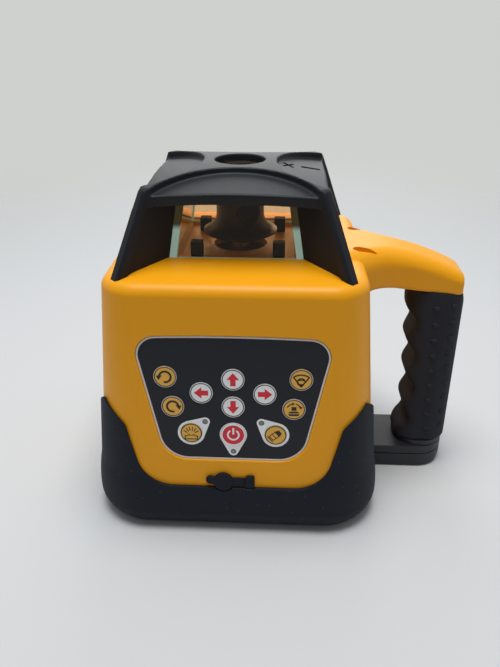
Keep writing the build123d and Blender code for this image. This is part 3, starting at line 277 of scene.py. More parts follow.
def moulded(name, rgba, roughness, grain, depth, mottle, gloss=0.5, dust=0.0):
    """A moulded plastic or rubber: a soft drift of colour, and gloss broken by the tool's grain."""
    material, tree, shader = new_material(name)
    place = add_node(tree, "TexCoord", {})["Object"]
    drift = add_node(tree, "TexNoise", {"Vector": place, "Scale": 1 / (40 * mm), "Detail": 3.0})
    tone = add_node(tree, "Mix", {0: drift["Fac"], 6: shaded(rgba, 1 - mottle), 7: shaded(rgba, 1 + mottle)},
                    data_type="RGBA")[2]
    # The tool's grain is really 0.1 to 0.2 mm wide, too fine to show, so it is drawn five times as coarse
    texture = add_node(tree, "TexNoise", {"Vector": place, "Scale": 1 / (grain * mm), "Detail": 2.0,
                                          "Roughness": 0.6})["Fac"]
    sheen = add_node(tree, "MapRange", {"Value": texture, "To Min": roughness - 0.06,
                                        "To Max": roughness + 0.06})
    bump = add_node(tree, "Bump", {"Height": texture, "Strength": 0.35, "Distance": depth * mm})
    if dust:
        # Specks of dust about 0.3 mm across and some millimetres apart
        grit = add_node(tree, "TexVoronoi", {"Vector": place, "Scale": 1 / (4 * mm)})
        speck = add_node(tree, "MapRange", {"Value": grit["Distance"], "From Min": 0.04, "From Max": 0.09,
                                            "To Min": dust, "To Max": 0.0})
        tone = add_node(tree, "Mix", {0: speck["Result"], 6: tone, 7: linear("8A8C90")}, data_type="RGBA")[2]
    feed(tree, shader, {"Base Color": tone, "Roughness": sheen["Result"], "Normal": bump["Normal"],
                        "IOR": 1.5, "Specular IOR Level": gloss})
    return material


def printed(name, rgba, roughness):
    """Screen print on film: flat opaque ink with a slight drift in its thickness."""
    material, tree, shader = new_material(name)
    place = add_node(tree, "TexCoord", {})["Object"]
    lay = add_node(tree, "TexNoise", {"Vector": place, "Scale": 1 / (2.5 * mm), "Detail": 2.0})["Fac"]
    ink = add_node(tree, "Mix", {0: lay, 6: shaded(rgba, 0.95), 7: shaded(rgba, 1.04)}, data_type="RGBA")
    bump = add_node(tree, "Bump", {"Height": lay, "Strength": 0.1, "Distance": 0.05 * mm})
    feed(tree, shader, {"Base Color": ink[2], "Normal": bump["Normal"], "Roughness": roughness})
    return material


def metal(name, rgba, roughness, streak, turned):
    """A bare metal: fine tool marks round the axis if it was turned, or the dull skin of a casting."""
    material, tree, shader = new_material(name)
    place = add_node(tree, "TexCoord", {})["Object"]
    scale = 1 / (streak * mm)
    if turned:
        marks = add_node(tree, "TexWave", {"Vector": place, "Scale": scale, "Distortion": 0.6, "Detail": 2.0},
                         wave_type="RINGS", rings_direction="Z")["Fac"]
    else:
        marks = add_node(tree, "TexNoise", {"Vector": place, "Scale": scale, "Detail": 4.0})["Fac"]
    tone = add_node(tree, "Mix", {0: marks, 6: shaded(rgba, 0.9), 7: rgba}, data_type="RGBA")
    dull = add_node(tree, "MapRange", {"Value": marks, "To Min": roughness - 0.08,
                                       "To Max": roughness + 0.08})
    bump = add_node(tree, "Bump", {"Height": marks, "Strength": 0.2, "Distance": 0.03 * mm})
    feed(tree, shader, {"Base Color": tone[2], "Roughness": dull["Result"], "Normal": bump["Normal"],
                        "Metallic": 1.0})
    return material


def float_glass():
    """Polished float glass under a coating that takes most of its gloss: clear, warm in what shows
    through it, with faint smears. Lamps shine through it, so the deck behind it is lit."""
    material, tree, shader = new_material("float_glass")
    place = add_node(tree, "TexCoord", {})["Object"]
    smear = add_node(tree, "TexNoise", {"Vector": place, "Scale": 1 / (9 * mm), "Detail": 3.0})
    film = add_node(tree, "MapRange", {"Value": smear["Fac"], "To Min": 0.0, "To Max": 0.03})
    feed(tree, shader, {"Base Color": linear("FFE4C2"), "Roughness": film["Result"], "IOR": 1.5,
                        "Transmission Weight": 1.0, "Specular IOR Level": 0.15})
    path = add_node(tree, "LightPath", {})
    clear = add_node(tree, "BsdfTransparent", {"Color": linear("FFF1E0")})
    both = add_node(tree, "MixShader", {0: path["Is Shadow Ray"], 1: shader.outputs["BSDF"],
                                        2: clear["BSDF"]})
    feed(tree, tree.nodes["Material Output"], {"Surface": both["Shader"]})
    return material


def ground_glass(rgba):
    """Ground edge of float glass: frosted and green from the depth of glass behind it, with a painted glow
    that stands for the light the pane gathers; its upper part is painted dark olive as the roof's shade
    and the orange that it reflects."""
    material, tree, shader = new_material("ground_glass_edge")
    place = add_node(tree, "TexCoord", {})["Object"]
    axis = add_node(tree, "SeparateXYZ", {"Vector": place})
    low, high = (corner.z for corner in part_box("window_left"))
    # Painted shade: over its upper part the edge turns dark olive, for the roof's shade and the orange it
    # reflects
    painted_roof_shade = add_node(tree, "MapRange", {"Value": axis["Z"], "From Min": low + 0.50 * (high - low),
                                       "From Max": low + 0.62 * (high - low)},
                    interpolation_type="SMOOTHSTEP")
    grit = add_node(tree, "TexNoise", {"Vector": place, "Scale": 1 / (0.5 * mm)})
    tone = add_node(tree, "Mix", {0: painted_roof_shade["Result"], 6: rgba, 7: linear("4C4526")}, data_type="RGBA")[2]
    bump = add_node(tree, "Bump", {"Height": grit["Fac"], "Strength": 0.2, "Distance": 0.05 * mm})
    # Painted glow: the edge gives off a little of its own colour, for the light that the pane gathers
    feed(tree, shader, {"Base Color": tone, "Emission Color": tone, "Normal": bump["Normal"],
                        "Emission Strength": 0.2, "Roughness": 0.22, "IOR": 1.5})
    return material


def coated_lens():
    """Optical glass with a blue-violet coating; its colour is painted: near-black for the shaded bore behind
    it, and a painted blue-violet reflection towards its rim, where it turns from the eye.
    """
    material, tree, shader = new_material("coated_lens")
    # Painted shade and reflection: near-black where the lens faces the eye, blue-violet towards its rim
    gaze = add_node(tree, "LayerWeight", {"Blend": 0.35})
    painted_bore_shade_and_reflection = add_node(tree, "Mix", {0: gaze["Facing"], 6: linear("04060F"), 7: linear("161B45")},
                    data_type="RGBA")
    feed(tree, shader, {"Base Color": painted_bore_shade_and_reflection[2], "Roughness": 0.04, "IOR": 1.5, "Specular IOR Level": 0.3,
                        "Specular Tint": linear("6478FF")})
    return material


def lamp_epoxy():
    """Clear epoxy of an unlit lamp: grey, with the chip's cup showing through."""
    material, tree, shader = new_material("lamp_epoxy")
    place = add_node(tree, "TexCoord", {})["Object"]
    cup = add_node(tree, "TexNoise", {"Vector": place, "Scale": 1 / (1.2 * mm)})
    tone = add_node(tree, "Mix", {0: cup["Fac"], 6: linear("4E5154"), 7: linear("9A9C9C")}, data_type="RGBA")
    feed(tree, shader, {"Base Color": tone[2], "Roughness": 0.15, "Coat Weight": 0.5})
    return material


def circuit_board():
    """Glass-epoxy board under green lacquer, with the faint ridges of its tracks."""
    material, tree, shader = new_material("circuit_board")
    place = add_node(tree, "TexCoord", {})["Object"]
    tracks = add_node(tree, "TexBrick", {"Vector": place, "Scale": 1 / (9 * mm), "Color1": linear("1B5A35"),
                                         "Color2": linear("1F6B3F"), "Mortar": linear("2F8A52"),
                                         "Mortar Size": 0.04})
    bump = add_node(tree, "Bump", {"Height": tracks["Fac"], "Strength": 0.3, "Distance": 0.05 * mm})
    feed(tree, shader, {"Base Color": tracks["Color"], "Normal": bump["Normal"], "Roughness": 0.3})
    return material


def paper(rgba):
    """Matt floor paper with the faint cloud of its pulp, which fades into the backdrop far from the level."""
    material, tree, shader = new_material("floor_paper")
    place = add_node(tree, "TexCoord", {})["Object"]
    pulp = add_node(tree, "TexNoise", {"Vector": place, "Scale": 1 / (3 * mm)})
    tone = add_node(tree, "Mix", {0: pulp["Fac"], 6: shaded(rgba, 0.995), 7: shaded(rgba, 1.005)},
                    data_type="RGBA")
    feed(tree, shader, {"Base Color": tone[2], "Roughness": 0.9, "Specular IOR Level": 0.1})
    reach = add_node(tree, "VectorMath", {0: place}, operation="LENGTH")
    fade = add_node(tree, "MapRange", {"Value": reach["Value"], "From Min": floor_fade[0],
                                       "From Max": floor_fade[1]}, interpolation_type="SMOOTHSTEP")
    open_air = add_node(tree, "BsdfTransparent", {})
    both = add_node(tree, "MixShader", {0: fade["Result"], 1: shader.outputs["BSDF"], 2: open_air["BSDF"]})
    feed(tree, tree.nodes["Material Output"], {"Surface": both["Shader"]})
    return material


def studio(backdrop):
    """World of a white tent that is open in front: soft light from behind and the sides, less from the
    front, and a pale backdrop for the camera, gloss and glass."""
    world = bpy.data.worlds.new("studio")
    world.use_nodes = True
    tree = world.node_tree
    way = add_node(tree, "SeparateXYZ", {"Vector": add_node(tree, "TexCoord", {})["Generated"]})["Y"]
    reach = {"Value": way, "From Min": -0.7, "From Max": 0.7, "To Min": 0.25}
    glow, shine = (add_node(tree, "MapRange", {**reach, "To Max": most}, interpolation_type="SMOOTHSTEP")
                   for most in (0.7, 1.0))
    light = tree.nodes["Background"]
    feed(tree, light, {"Color": linear("EEF1F5"), "Strength": glow["Result"]})
    path = add_node(tree, "LightPath", {})
    full = add_node(tree, "Mix", {0: path["Is Glossy Ray"], 2: 1.0, 3: shine["Result"]})
    pale = add_node(tree, "Background", {"Color": backdrop, "Strength": full[0]})
    sight = add_node(tree, "Math", {0: path["Is Camera Ray"], 1: path["Is Glossy Ray"]}, operation="MAXIMUM")
    seen = add_node(tree, "Math", {0: sight["Value"], 1: path["Is Transmission Ray"]}, operation="MAXIMUM")
    both = add_node(tree, "MixShader", {0: seen["Value"], 1: light.outputs["Background"],
                                        2: pale["Background"]})
    feed(tree, tree.nodes["World Output"], {"Surface": both["Shader"]})
    return world


def finishes(colours):
    """Every finish of the level, by the record's material slot."""
    return {
        # Injection-moulded ABS: strong orange, satin, with soft lights along its rounded edges
        "orange_plastic": moulded("orange_abs", colours.housing, 0.42, 0.7, 0.04, 0.025, 0.3),
        # The same in black: a grey sheen on the flat faces
        "black_plastic": moulded("black_abs", colours.tray, 0.5, 0.8, 0.06, 0.06),
        # Moulded rubber: dull blue-black, with a few specks of dust on it
        "black_rubber": moulded("bumper_rubber", colours.rubber, 0.65, 1.1, 0.07, 0.1, 0.2, 0.3),
        # Matt polyester film: an even charcoal with hardly any gloss
        "panel_film": moulded("polyester_film", colours.film, 0.5, 0.9, 0.02, 0.04, 0.3),
        "clear_glass": float_glass(),
        "optic_glass": coated_lens(),
        # ABS from a polished tool: near-black brown with narrow lights
        "rotor_plastic": moulded("rotor_abs", colours.rotor, 0.3, 0.9, 0.02, 0.05, 0.25),
        # Screen prints on the keys: warm amber, clean white and clear red, all satin
        "amber_keys": printed("amber_key_print", colours.amber, 0.42),
        "white_keys": printed("white_key_print", colours.white, 0.42),
        "red_keys": printed("red_key_print", colours.red, 0.42),
        "clear_plastic": lamp_epoxy(),
        # Die casting: grey and cloudy
        "cast_aluminium": metal("die_cast_aluminium", linear("B4B6B8"), 0.45, 1.4, False),
        # Turned steel and brass: bright, with the tool's rings, which are drawn coarser than real to show
        "bright_steel": metal("turned_steel", linear("C4C5C8"), 0.3, 0.5, True),
        "brass": metal("turned_brass", linear("C9A55A"), 0.32, 0.5, True),
        "board_green": circuit_board(),
        # Moulded nylon: black and satin
        "socket_plastic": moulded("socket_nylon", linear("1B1B1D"), 0.45, 0.8, 0.03, 0.05),
        # Cut neoprene: black and dull
        "belt_rubber": moulded("belt_neoprene", linear("1A1A1B"), 0.7, 0.8, 0.05, 0.08, 0.3),
        # Shrunk sleeve: green and glossy, slightly uneven
        "cell_sleeve": moulded("shrink_sleeve", linear("3F6E4A"), 0.3, 2.0, 0.02, 0.05),
    }


def only(piece):
    """Select one piece alone."""
    bpy.ops.object.select_all(action="DESELECT")
    piece.select_set(True)
    bpy.context.view_layer.objects.active = piece


def edit(piece):
    """Open one piece in edit mode, all of it selected."""
    only(piece)
    bpy.ops.object.mode_set(mode="EDIT")
    bpy.ops.mesh.select_all(action="SELECT")


def close_edit():
    """Leave edit mode with the normals pointing outwards."""
    bpy.ops.mesh.select_all(action="SELECT")
    bpy.ops.mesh.normals_make_consistent(inside=False)
    bpy.ops.object.mode_set(mode="OBJECT")


def joined(pieces, name):
    """Join pieces into one."""
    bpy.ops.object.select_all(action="DESELECT")
    for piece in pieces:
        piece.select_set(True)
    bpy.context.view_layer.objects.active = pieces[0]
    if len(pieces) > 1:
        bpy.ops.object.join()
    pieces[0].name = name
    return pieces[0]


def cad_copy(node, name):
    """A merged copy of a CAD node, free of its body."""
    source = frame["nodes"][node]
    only(source)
    bpy.ops.object.duplicate()
    piece = bpy.context.active_object
    bpy.ops.object.parent_clear(type="CLEAR_KEEP_TRANSFORM")
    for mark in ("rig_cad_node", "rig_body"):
        del piece[mark]
    piece.name = name
    edit(piece)
    bpy.ops.mesh.remove_doubles(threshold=0.001 * mm)
    bpy.ops.mesh.customdata_custom_splitnormals_clear()
    bpy.ops.mesh.dissolve_limited(angle_limit=math.radians(0.3))
    bpy.ops.object.mode_set(mode="OBJECT")
    return piece


def modified(piece, kind, **settings):
    """Add a modifier to a piece with its settings, and apply it."""
    only(piece)
    modifier = piece.modifiers.new(kind, kind)
    for name, value in settings.items():
        setattr(modifier, name, value)
    bpy.ops.object.modifier_apply(modifier=modifier.name)
    return piece


def smooth(piece):
    """Shade a piece smooth, its large faces kept flat beside rounded edges."""
    only(piece)
    bpy.ops.object.shade_smooth_by_angle(angle=math.radians(30))
    return modified(piece, "WEIGHTED_NORMAL", keep_sharp=True)


def skinned(piece, size):
    """Draw an even skin over a piece."""
    return modified(piece, "REMESH", mode="VOXEL", voxel_size=size)


def melted(piece, rounds, group=""):
    """Let a piece's edges melt round, all over or where a group of its points says."""
    return modified(piece, "SMOOTH", factor=0.5, iterations=rounds, vertex_group=group)


def weighed(piece, name, weight):
    """Name of a new group of a piece's points, each with the weight that its place gives."""
    group = piece.vertex_groups.new(name=name)
    for corner in piece.data.vertices:
        group.add([corner.index], min(1, max(0, weight(corner.co))), "REPLACE")
    return group.name


def soften(piece, width, segments):
    """Round the sharp edges of a piece and shade it smooth."""
    modified(piece, "BEVEL", width=width, segments=segments, limit_method="ANGLE",
             angle_limit=math.radians(35), use_clamp_overlap=False, miter_outer="MITER_ARC")
    return smooth(piece)


def cut(piece, tool, operation="DIFFERENCE"):
    """Cut one piece out of another, or unite the two, and take the tool away."""
    modified(piece, "BOOLEAN", object=tool, operation=operation, solver="EXACT")
    bpy.data.objects.remove(tool)
    return piece


def placed(piece, matrix):
    """Put a piece at a place, which goes into its mesh."""
    only(piece)
    piece.matrix_world = matrix
    bpy.ops.object.transform_apply(location=True, rotation=True, scale=True)
    return piece


def copied(piece, matrix):
    """A copy of a piece, with its own mesh, at a place."""
    only(piece)
    bpy.ops.object.duplicate()
    return placed(bpy.context.active_object, matrix)


def upright_on(piece, start, direction):
    """Place where a line meets a piece: Z along the surface's normal, Y as near to up as it goes."""
    met, place, normal, _ = piece.ray_cast(start, direction)
    if not met:
        raise RuntimeError("no surface of " + piece.name + " in line")
    across = Vector((0, 0, 1)).cross(normal)
    across = across.normalized() if across.length > 0.5 else Vector((1, 0, 0))
    across = (across - normal * across.dot(normal)).normalized()
    axes = Matrix((across, normal.cross(across), normal)).transposed()
    return Matrix.Translation(place) @ axes.to_4x4()


def paint(piece, *materials):
    """Give a piece its materials."""
    piece.data.materials.clear()
    for material in materials:
        piece.data.materials.append(material)
    return piece


def settle(piece, body, slot, *nodes):
    """Let a piece ride on a body and stand for its CAD nodes, which it hides; the slot is not used."""
    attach(piece, body)
    if nodes:
        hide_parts(*nodes)
    return piece


def on_front(piece, inset):
    """Move a flat piece from the origin to the panel's middle: X along the face, Y up it, Z out of it."""
    lean = math.atan(wall_draft)
    outward = Vector((0, -math.cos(lean), math.sin(lean)))
    upward = Vector((0, math.sin(lean), math.cos(lean)))
    middle = Vector((0, -front_half, panel_middle)) * mm - outward * inset * mm
    axes = Matrix((Vector((1, 0, 0)), upward, outward)).transposed()
    return placed(piece, Matrix.Translation(middle) @ axes.to_4x4())


def sheet(outline):
    """Lay a flat disc's corners along an outline."""
    bpy.ops.object.select_all(action="DESELECT")
    bpy.ops.mesh.primitive_circle_add(vertices=len(outline), radius=mm, fill_type="NGON")
    piece = bpy.context.active_object
    for corner, (x, y) in zip(piece.data.vertices, outline):
        corner.co = (x * mm, y * mm, 0)
    return piece


def slab(outline, height):
    """Raise a flat sheet to a slab, its height in metres."""
    piece = sheet(outline)
    edit(piece)
    bpy.ops.mesh.extrude_region_move(TRANSFORM_OT_translate={"value": (0, 0, height)})
    close_edit()
    return piece


def arc(radius, start, end, centre=(0, 0), steps=24):
    """Points along an arc, angles in degrees."""
    points = []
    for step in range(steps + 1):
        angle = math.radians(start + (end - start) * step / steps)
        points.append((centre[0] + radius * math.cos(angle), centre[1] + radius * math.sin(angle)))
    return points


def rounded(corners):
    """Outline through corners, each with the radius that rounds it."""
    points = []
    for index, (x, y, radius) in enumerate(corners):
        corner = Vector((x, y))
        if not radius:
            points.append((x, y))
            continue
        before = (Vector(corners[index - 1][:2]) - corner).normalized()
        after = (Vector(corners[(index + 1) % len(corners)][:2]) - corner).normalized()
        half = before.angle(after) / 2
        middle = corner + (before + after).normalized() * radius / math.sin(half)
        start = corner + before * radius / math.tan(half) - middle
        end = corner + after * radius / math.tan(half) - middle
        first = math.degrees(math.atan2(start.y, start.x))
        turn = (math.degrees(math.atan2(end.y, end.x)) - first + 180) % 360 - 180
        points += arc(radius, first, first + turn, middle, 12)
    return points


def panel_outline():
    """The keypad panel's outline: a trapezoid with a crowned top and round corners."""
    half = panel_height / 2
    bend = (panel_top_half ** 2 + panel_crown ** 2) / (2 * panel_crown)
    spread = math.degrees(math.asin(panel_top_half / bend))
    crown = arc(bend, 90 - spread, 90 + spread, (0, half - bend), 6)
    corners = [(*crown[0], panel_corner_radius)]
    corners += [(x, y, 0) for x, y in crown[1:-1]]
    corners.append((*crown[-1], panel_corner_radius))
    corners.append((-panel_bottom_half, -half, panel_foot_radius))
    corners.append((panel_bottom_half, -half, panel_foot_radius))
    return rounded(corners)


def grown(outline, amount):
    """An outline that is grown outwards by an amount."""
    points = [Vector(point) for point in outline]
    moved_out = []
    for index, point in enumerate(points):
        run = points[(index + 1) % len(points)] - points[index - 1]
        moved_out.append(point + Vector((run.y, -run.x)).normalized() * amount)
    return [tuple(point) for point in moved_out]


def flared(outline, radius, steps=4):
    """A cutter that rounds a hole's edge: it follows the outline below and flares over a quarter circle."""
    rings = []
    for step in range(steps + 1):
        angle = math.radians(90 * step / steps)
        rings.append((grown(outline, radius * (1 - math.cos(angle))), radius * (math.sin(angle) - 1)))
    rings.append((rings[-1][0], flare_reach))
    piece = sheet(outline)
    edit(piece)
    for number in range(1, len(rings)):
        bpy.ops.mesh.extrude_region_move(TRANSFORM_OT_translate={"value": (0, 0, mm)})
    close_edit()
    order = {(round(x, 3), round(y, 3)): index for index, (x, y) in enumerate(outline)}
    for corner in piece.data.vertices:
        index = order[(round(corner.co.x / mm, 3), round(corner.co.y / mm, 3))]
        points, level = rings[round(corner.co.z / mm)]
        corner.co = (points[index][0] * mm, points[index][1] * mm, level * mm)
    return piece


def band(radius, width, start, end, centre=(0, 0)):
    """Outline of an arc with a width."""
    outer = arc(radius + width / 2, start, end, centre)
    return outer + arc(radius - width / 2, end, start, centre)


def bar(start, end, width):
    """Outline of a straight stroke with a width."""
    run = Vector((end[0] - start[0], end[1] - start[1]))
    side = Vector((-run.y, run.x)).normalized() * width / 2
    corners = [Vector(start) + side, Vector(start) - side, Vector(end) - side, Vector(end) + side]
    return [tuple(corner) for corner in corners]


def moved(outline, place, turn=0):
    """An outline turned by an angle in degrees, then moved."""
    angle = math.radians(turn)
    turned = [(x * math.cos(angle) - y * math.sin(angle), x * math.sin(angle) + y * math.cos(angle))
              for x, y in outline]
    return [(x + place[0], y + place[1]) for x, y in turned]


def drop_outline(big, small, reach):
    """Outline of a drop: a large circle and a small one at a distance along X, with straight flanks."""
    flank = math.degrees(math.acos((big - small) / reach))
    return arc(big, flank, 360 - flank, steps=48) + arc(small, -flank, flank, (reach, 0), steps=16)


def ring(radius, width, height):
    """A thin flat ring: a disc, inset, its middle taken out, and raised by a height in metres."""
    bpy.ops.object.select_all(action="DESELECT")
    bpy.ops.mesh.primitive_circle_add(vertices=72, radius=radius * mm, fill_type="NGON")
    piece = bpy.context.active_object
    edit(piece)
    bpy.ops.mesh.inset(thickness=width * mm)
    bpy.ops.mesh.delete(type="FACE")
    bpy.ops.mesh.select_all(action="SELECT")
    bpy.ops.mesh.extrude_region_move(TRANSFORM_OT_translate={"value": (0, 0, height)})
    close_edit()
    return piece


def shift(piece, place, lift):
    """Move a flat piece over its own plane and off it."""
    return placed(piece, Matrix.Translation(Vector((*place, lift)) * mm))


def turn_sign(mirror):
    """Open circular arrow; mirrored it turns the other way."""
    head = [(-4.7, 0.6), (-1.5, 0.9), (-3.4, -1.9)]
    sign = [band(3.0, 1.1, 168, -105), head]
    return [[(x * mirror, y) for x, y in outline] for outline in sign]


def scan_sign():
    """Fan of the scanned beam over its source."""
    apex = (0, -3.9)
    return [
        bar(apex, (-4.1, 1.6), 0.75),
        bar(apex, (4.1, 1.6), 0.75),
        band(6.7, 0.75, 53, 127, apex),
        band(3.9, 0.7, 58, 122, apex),
        band(2.0, 0.6, 0, 300, (0, -1.2)),
        [(-1.1, -2.2), (0, -3.9), (1.1, -2.2)],
    ]


def speed_sign():
    """Rotor head with a broken arrow turning round it."""
    return [
        band(3.7, 0.6, 104, 158, (0, -0.4)),
        band(3.7, 0.6, 22, 76, (0, -0.4)),
        [(2.4, 1.6), (4.4, 1.6), (3.6, 0.1)],
        [(-1.0, 4.1), (-1.0, 2.3), (0.5, 3.3)],
        [(-1.3, 1.5), (1.3, 1.5), (1.3, -0.7), (-1.3, -0.7)],
        [(-2.1, -1.2), (2.1, -1.2), (2.9, -2.2), (-2.9, -2.2)],
        [(-2.9, -2.7), (2.9, -2.7), (2.4, -3.8), (-2.4, -3.8)],
    ]


def alarm_sign():
    """Rays over a level that was knocked."""
    sign = []
    for angle in (30, 55, 78, 102, 125, 150):
        inner, outer = (arc(radius, angle, angle, (0, -0.9), 1)[0] for radius in (2.3, 4.6))
        sign.append(bar(inner, outer, 0.5))
    sign.append([(-2.2, -0.3), (0, -1.3), (2.2, -0.3), (1.2, -1.5), (-1.2, -1.5)])
    box = [((-3.3, -1.7), (-3.3, -3.6)), ((3.3, -1.7), (3.3, -3.6)), ((-3.5, -3.6), (3.5, -3.6)),
           ((-3.5, -1.7), (-1.6, -1.7)), ((1.6, -1.7), (3.5, -1.7))]
    return sign + [bar(start, end, 0.5) for start, end in box]


def manual_sign():
    """Level lying on a slope."""
    body = [(-3.0, -1.6), (1.0, -1.6), (1.0, 1.6), (-3.0, 1.6)]
    inside = [bar(a, b, 0.45) for a, b in zip(body, body[1:] + body[:1])]
    head = [(1.0, -2.0), (3.2, -1.2), (3.2, 1.2), (1.0, 2.0)]
    sign = inside + [head, bar((-3.8, -2.4), (-3.8, 2.4), 0.5), bar((-1.0, -1.6), (-1.0, 1.6), 0.4)]
    return [moved(outline, (0, 0), 40) for outline in sign]


def arrow_sign(turn):
    """Block arrow."""
    arrow = [(-1.4, -3.6), (1.4, -3.6), (1.4, -0.1), (3.2, -0.1), (0, 3.8), (-3.2, -0.1), (-1.4, -0.1)]
    return [moved(arrow, (0, 0), turn)]


def power_sign():
    """Open ring with a bar through its gap."""
    return [band(2.9, 0.95, 122, 418), bar((0, 0.3), (0, 4.1), 1.0)]


class LEVEL_OT_stage(bpy.types.Operator):
    """Floor, backdrop, lights, world and the camera at the photograph's angle."""
    bl_idname = "level.stage"
    bl_label = "Stage"

    def execute(self, context):
        colours = context.scene.level_colours
        bpy.ops.object.select_all(action="DESELECT")
        bpy.ops.mesh.primitive_circle_add(vertices=96, radius=floor_radius, fill_type="NGON")
        floor = context.active_object
        floor.name = "paper_floor"
        edit(floor)
        bpy.ops.mesh.inset(thickness=floor_radius / 2)
        close_edit()
        paint(floor, paper(colours.floor))
        for name, place, target, size, power in lights:
            bpy.ops.object.light_add(type="AREA", location=place)
            lamp = context.active_object
            lamp.name = name
            lamp.data.shape = "DISK"
            lamp.data.size = size
            lamp.data.energy = power
            lamp.visible_camera = False
            lamp.rotation_euler = (Vector(target) - Vector(place)).to_track_quat("-Z", "Y").to_euler()
        context.scene.world = studio(colours.backdrop)
        bpy.ops.object.camera_add(location=Vector(camera_place) * mm)
        camera = context.active_object
        camera.name = "photo_camera"
        look = Vector(camera_sight).to_track_quat("-Z", "Y").to_matrix()
        camera.rotation_euler = (look @ Matrix.Rotation(math.radians(camera_roll), 3, "Z")).to_euler()
        camera.data.lens = camera_lens
        camera.data.sensor_width = 36.0
        camera.data.clip_start = 0.01
        context.scene.camera = camera
        context.scene.view_settings.view_transform = "Standard"
        return {"FINISHED"}


class LEVEL_OT_finishes(bpy.types.Operator):
    """Give every carried-over CAD node the finish of its material slot."""
    bl_idname = "level.finishes"
    bl_label = "Finishes of the CAD nodes"

    def execute(self, context):
        made = finishes(context.scene.level_colours)
        for entry in frame["record"]["subparts"]:
            paint(frame["nodes"][entry["node"]], made[entry["material_slot"]])
        return {"FINISHED"}


class LEVEL_OT_housing(bpy.types.Operator):
    """Housing with a rounded rim round the keypad panel's recess, and deep pockets on the arm's shoulders."""
    bl_idname = "level.housing"
    bl_label = "Housing"

    def execute(self, context):
        housing = cad_copy("main_housing", "soft_housing")
        cut(housing, on_front(flared(panel_outline(), context.scene.level_sizes.recess_edge / mm), 0))
        for side in (-1, 1):
            outline = moved(drop_outline(*pocket_drop), (pocket_place[0], side * pocket_place[1]))
            cut(housing, shift(slab(outline, pocket_cut * mm), (0, 0), pocket_floor))
        smooth(housing)
        paint(housing, bpy.data.materials["orange_abs"])
        settle(housing, "housing", "orange_plastic", "main_housing")
        return {"FINISHED"}


class LEVEL_OT_cage(bpy.types.Operator):
    """Head cage with melted ridges on its roof, crisp webs below it and the mark of its X axis cut in."""
    bl_idname = "level.cage"
    bl_label = "Head cage"

    def execute(self, context):
        sizes = context.scene.level_sizes
        cage = skinned(cad_copy("head_cage", "soft_head_cage"), sizes.cage_skin)
        melted(cage, roof_rounds, weighed(cage, "roof", lambda place: (place.z / mm - web_top) / melt_fade))
        modified(cage, "DECIMATE", ratio=cage_thinning)
        webs = cad_copy("head_cage", "crisp_webs")
        edit(webs)
        bpy.ops.mesh.bisect(plane_co=(0, 0, web_top * mm), plane_no=(0, 0, 1), use_fill=True,
                            clear_outer=True)
        bpy.ops.mesh.select_all(action="SELECT")
        bpy.ops.transform.shrink_fatten(value=web_proud * mm)
        close_edit()
        cut(cage, webs, "UNION")
        # Moulded black ABS: a soft grey sheen on the roof; and the shade that fills the sunk mark
        black = moulded("cage_abs", context.scene.level_colours.cage, 0.5, 0.8, 0.06, 0.05, 0.25)
        shade = moulded("mark_shade", linear("060607"), 0.7, 0.8, 0.03, 0.1, 0.1)
        paint(cage, black, shade)
        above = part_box("head_cage")[1].z + 10 * mm
        for (x, y), width, strokes in axis_mark:
            place = upright_on(cage, (x * mm, y * mm, above), (0, 0, -1))
            for start, end in strokes:
                cutter = slab(bar(start, end, width), 4 * mm)
                cut(cage, placed(cutter, place @ Matrix.Translation((0, 0, -sizes.mark_depth))))
            for face in cage.data.polygons:
                sunk = (place.inverted() @ face.center) / sizes.mark_depth
                if -1.4 < sunk.z < -0.25 and sunk.xy.length < mark_reach * mm / sizes.mark_depth:
                    face.material_index = 1
        smooth(cage)
        settle(cage, "housing", "black_plastic", "head_cage")
        return {"FINISHED"}


class LEVEL_OT_panes(bpy.types.Operator):
    """Four window panes with ground edges."""
    bl_idname = "level.panes"
    bl_label = "Window panes"

    def execute(self, context):
        clear = bpy.data.materials["float_glass"]
        edge = ground_glass(context.scene.level_colours.glass_edge)
        for side, across in (("front", 1), ("rear", 1), ("left", 0), ("right", 0)):
            pane = cad_copy("window_" + side, "ground_pane_" + side)
            soften(pane, context.scene.level_sizes.pane_edge, 1)
            paint(pane, clear, edge)
            for face in pane.data.polygons:
                face.material_index = 0 if abs(face.normal[across]) > 0.9 else 1
                face.use_smooth = False
            settle(pane, "housing", "clear_glass", "window_" + side)
        return {"FINISHED"}


class LEVEL_OT_bumper(bpy.types.Operator):
    """Rubber bumper with a rounded rim and a parting line round its bulge."""
    bl_idname = "level.bumper"
    bl_label = "Rubber bumper"

    def execute(self, context):
        sizes = context.scene.level_sizes
        bumper = cad_copy("rubber_bumper", "soft_bumper")
        soften(bumper, sizes.rubber_edge, 3)
        edit(bumper)
        for height in (seam_height - seam_half, seam_height, seam_height + seam_half):
            bpy.ops.mesh.select_all(action="SELECT")
            bpy.ops.mesh.bisect(plane_co=(0, 0, height * mm), plane_no=(0, 0, 1))
        bpy.ops.mesh.select_mode(type="VERT")
        bpy.ops.mesh.select_all(action="DESELECT")
        bpy.ops.object.mode_set(mode="OBJECT")
        for corner in bumper.data.vertices:
            outside = corner.normal.xy.dot(corner.co.xy.normalized()) > 0.5
            corner.select = outside and abs(corner.co.z - seam_height * mm) < 0.001 * mm
        bpy.ops.object.mode_set(mode="EDIT")
        bpy.ops.transform.shrink_fatten(value=-sizes.seam_depth)
        bpy.ops.object.mode_set(mode="OBJECT")
        smooth(bumper)
        paint(bumper, bpy.data.materials["bumper_rubber"])
        settle(bumper, "housing", "black_rubber", "rubber_bumper")
        return {"FINISHED"}


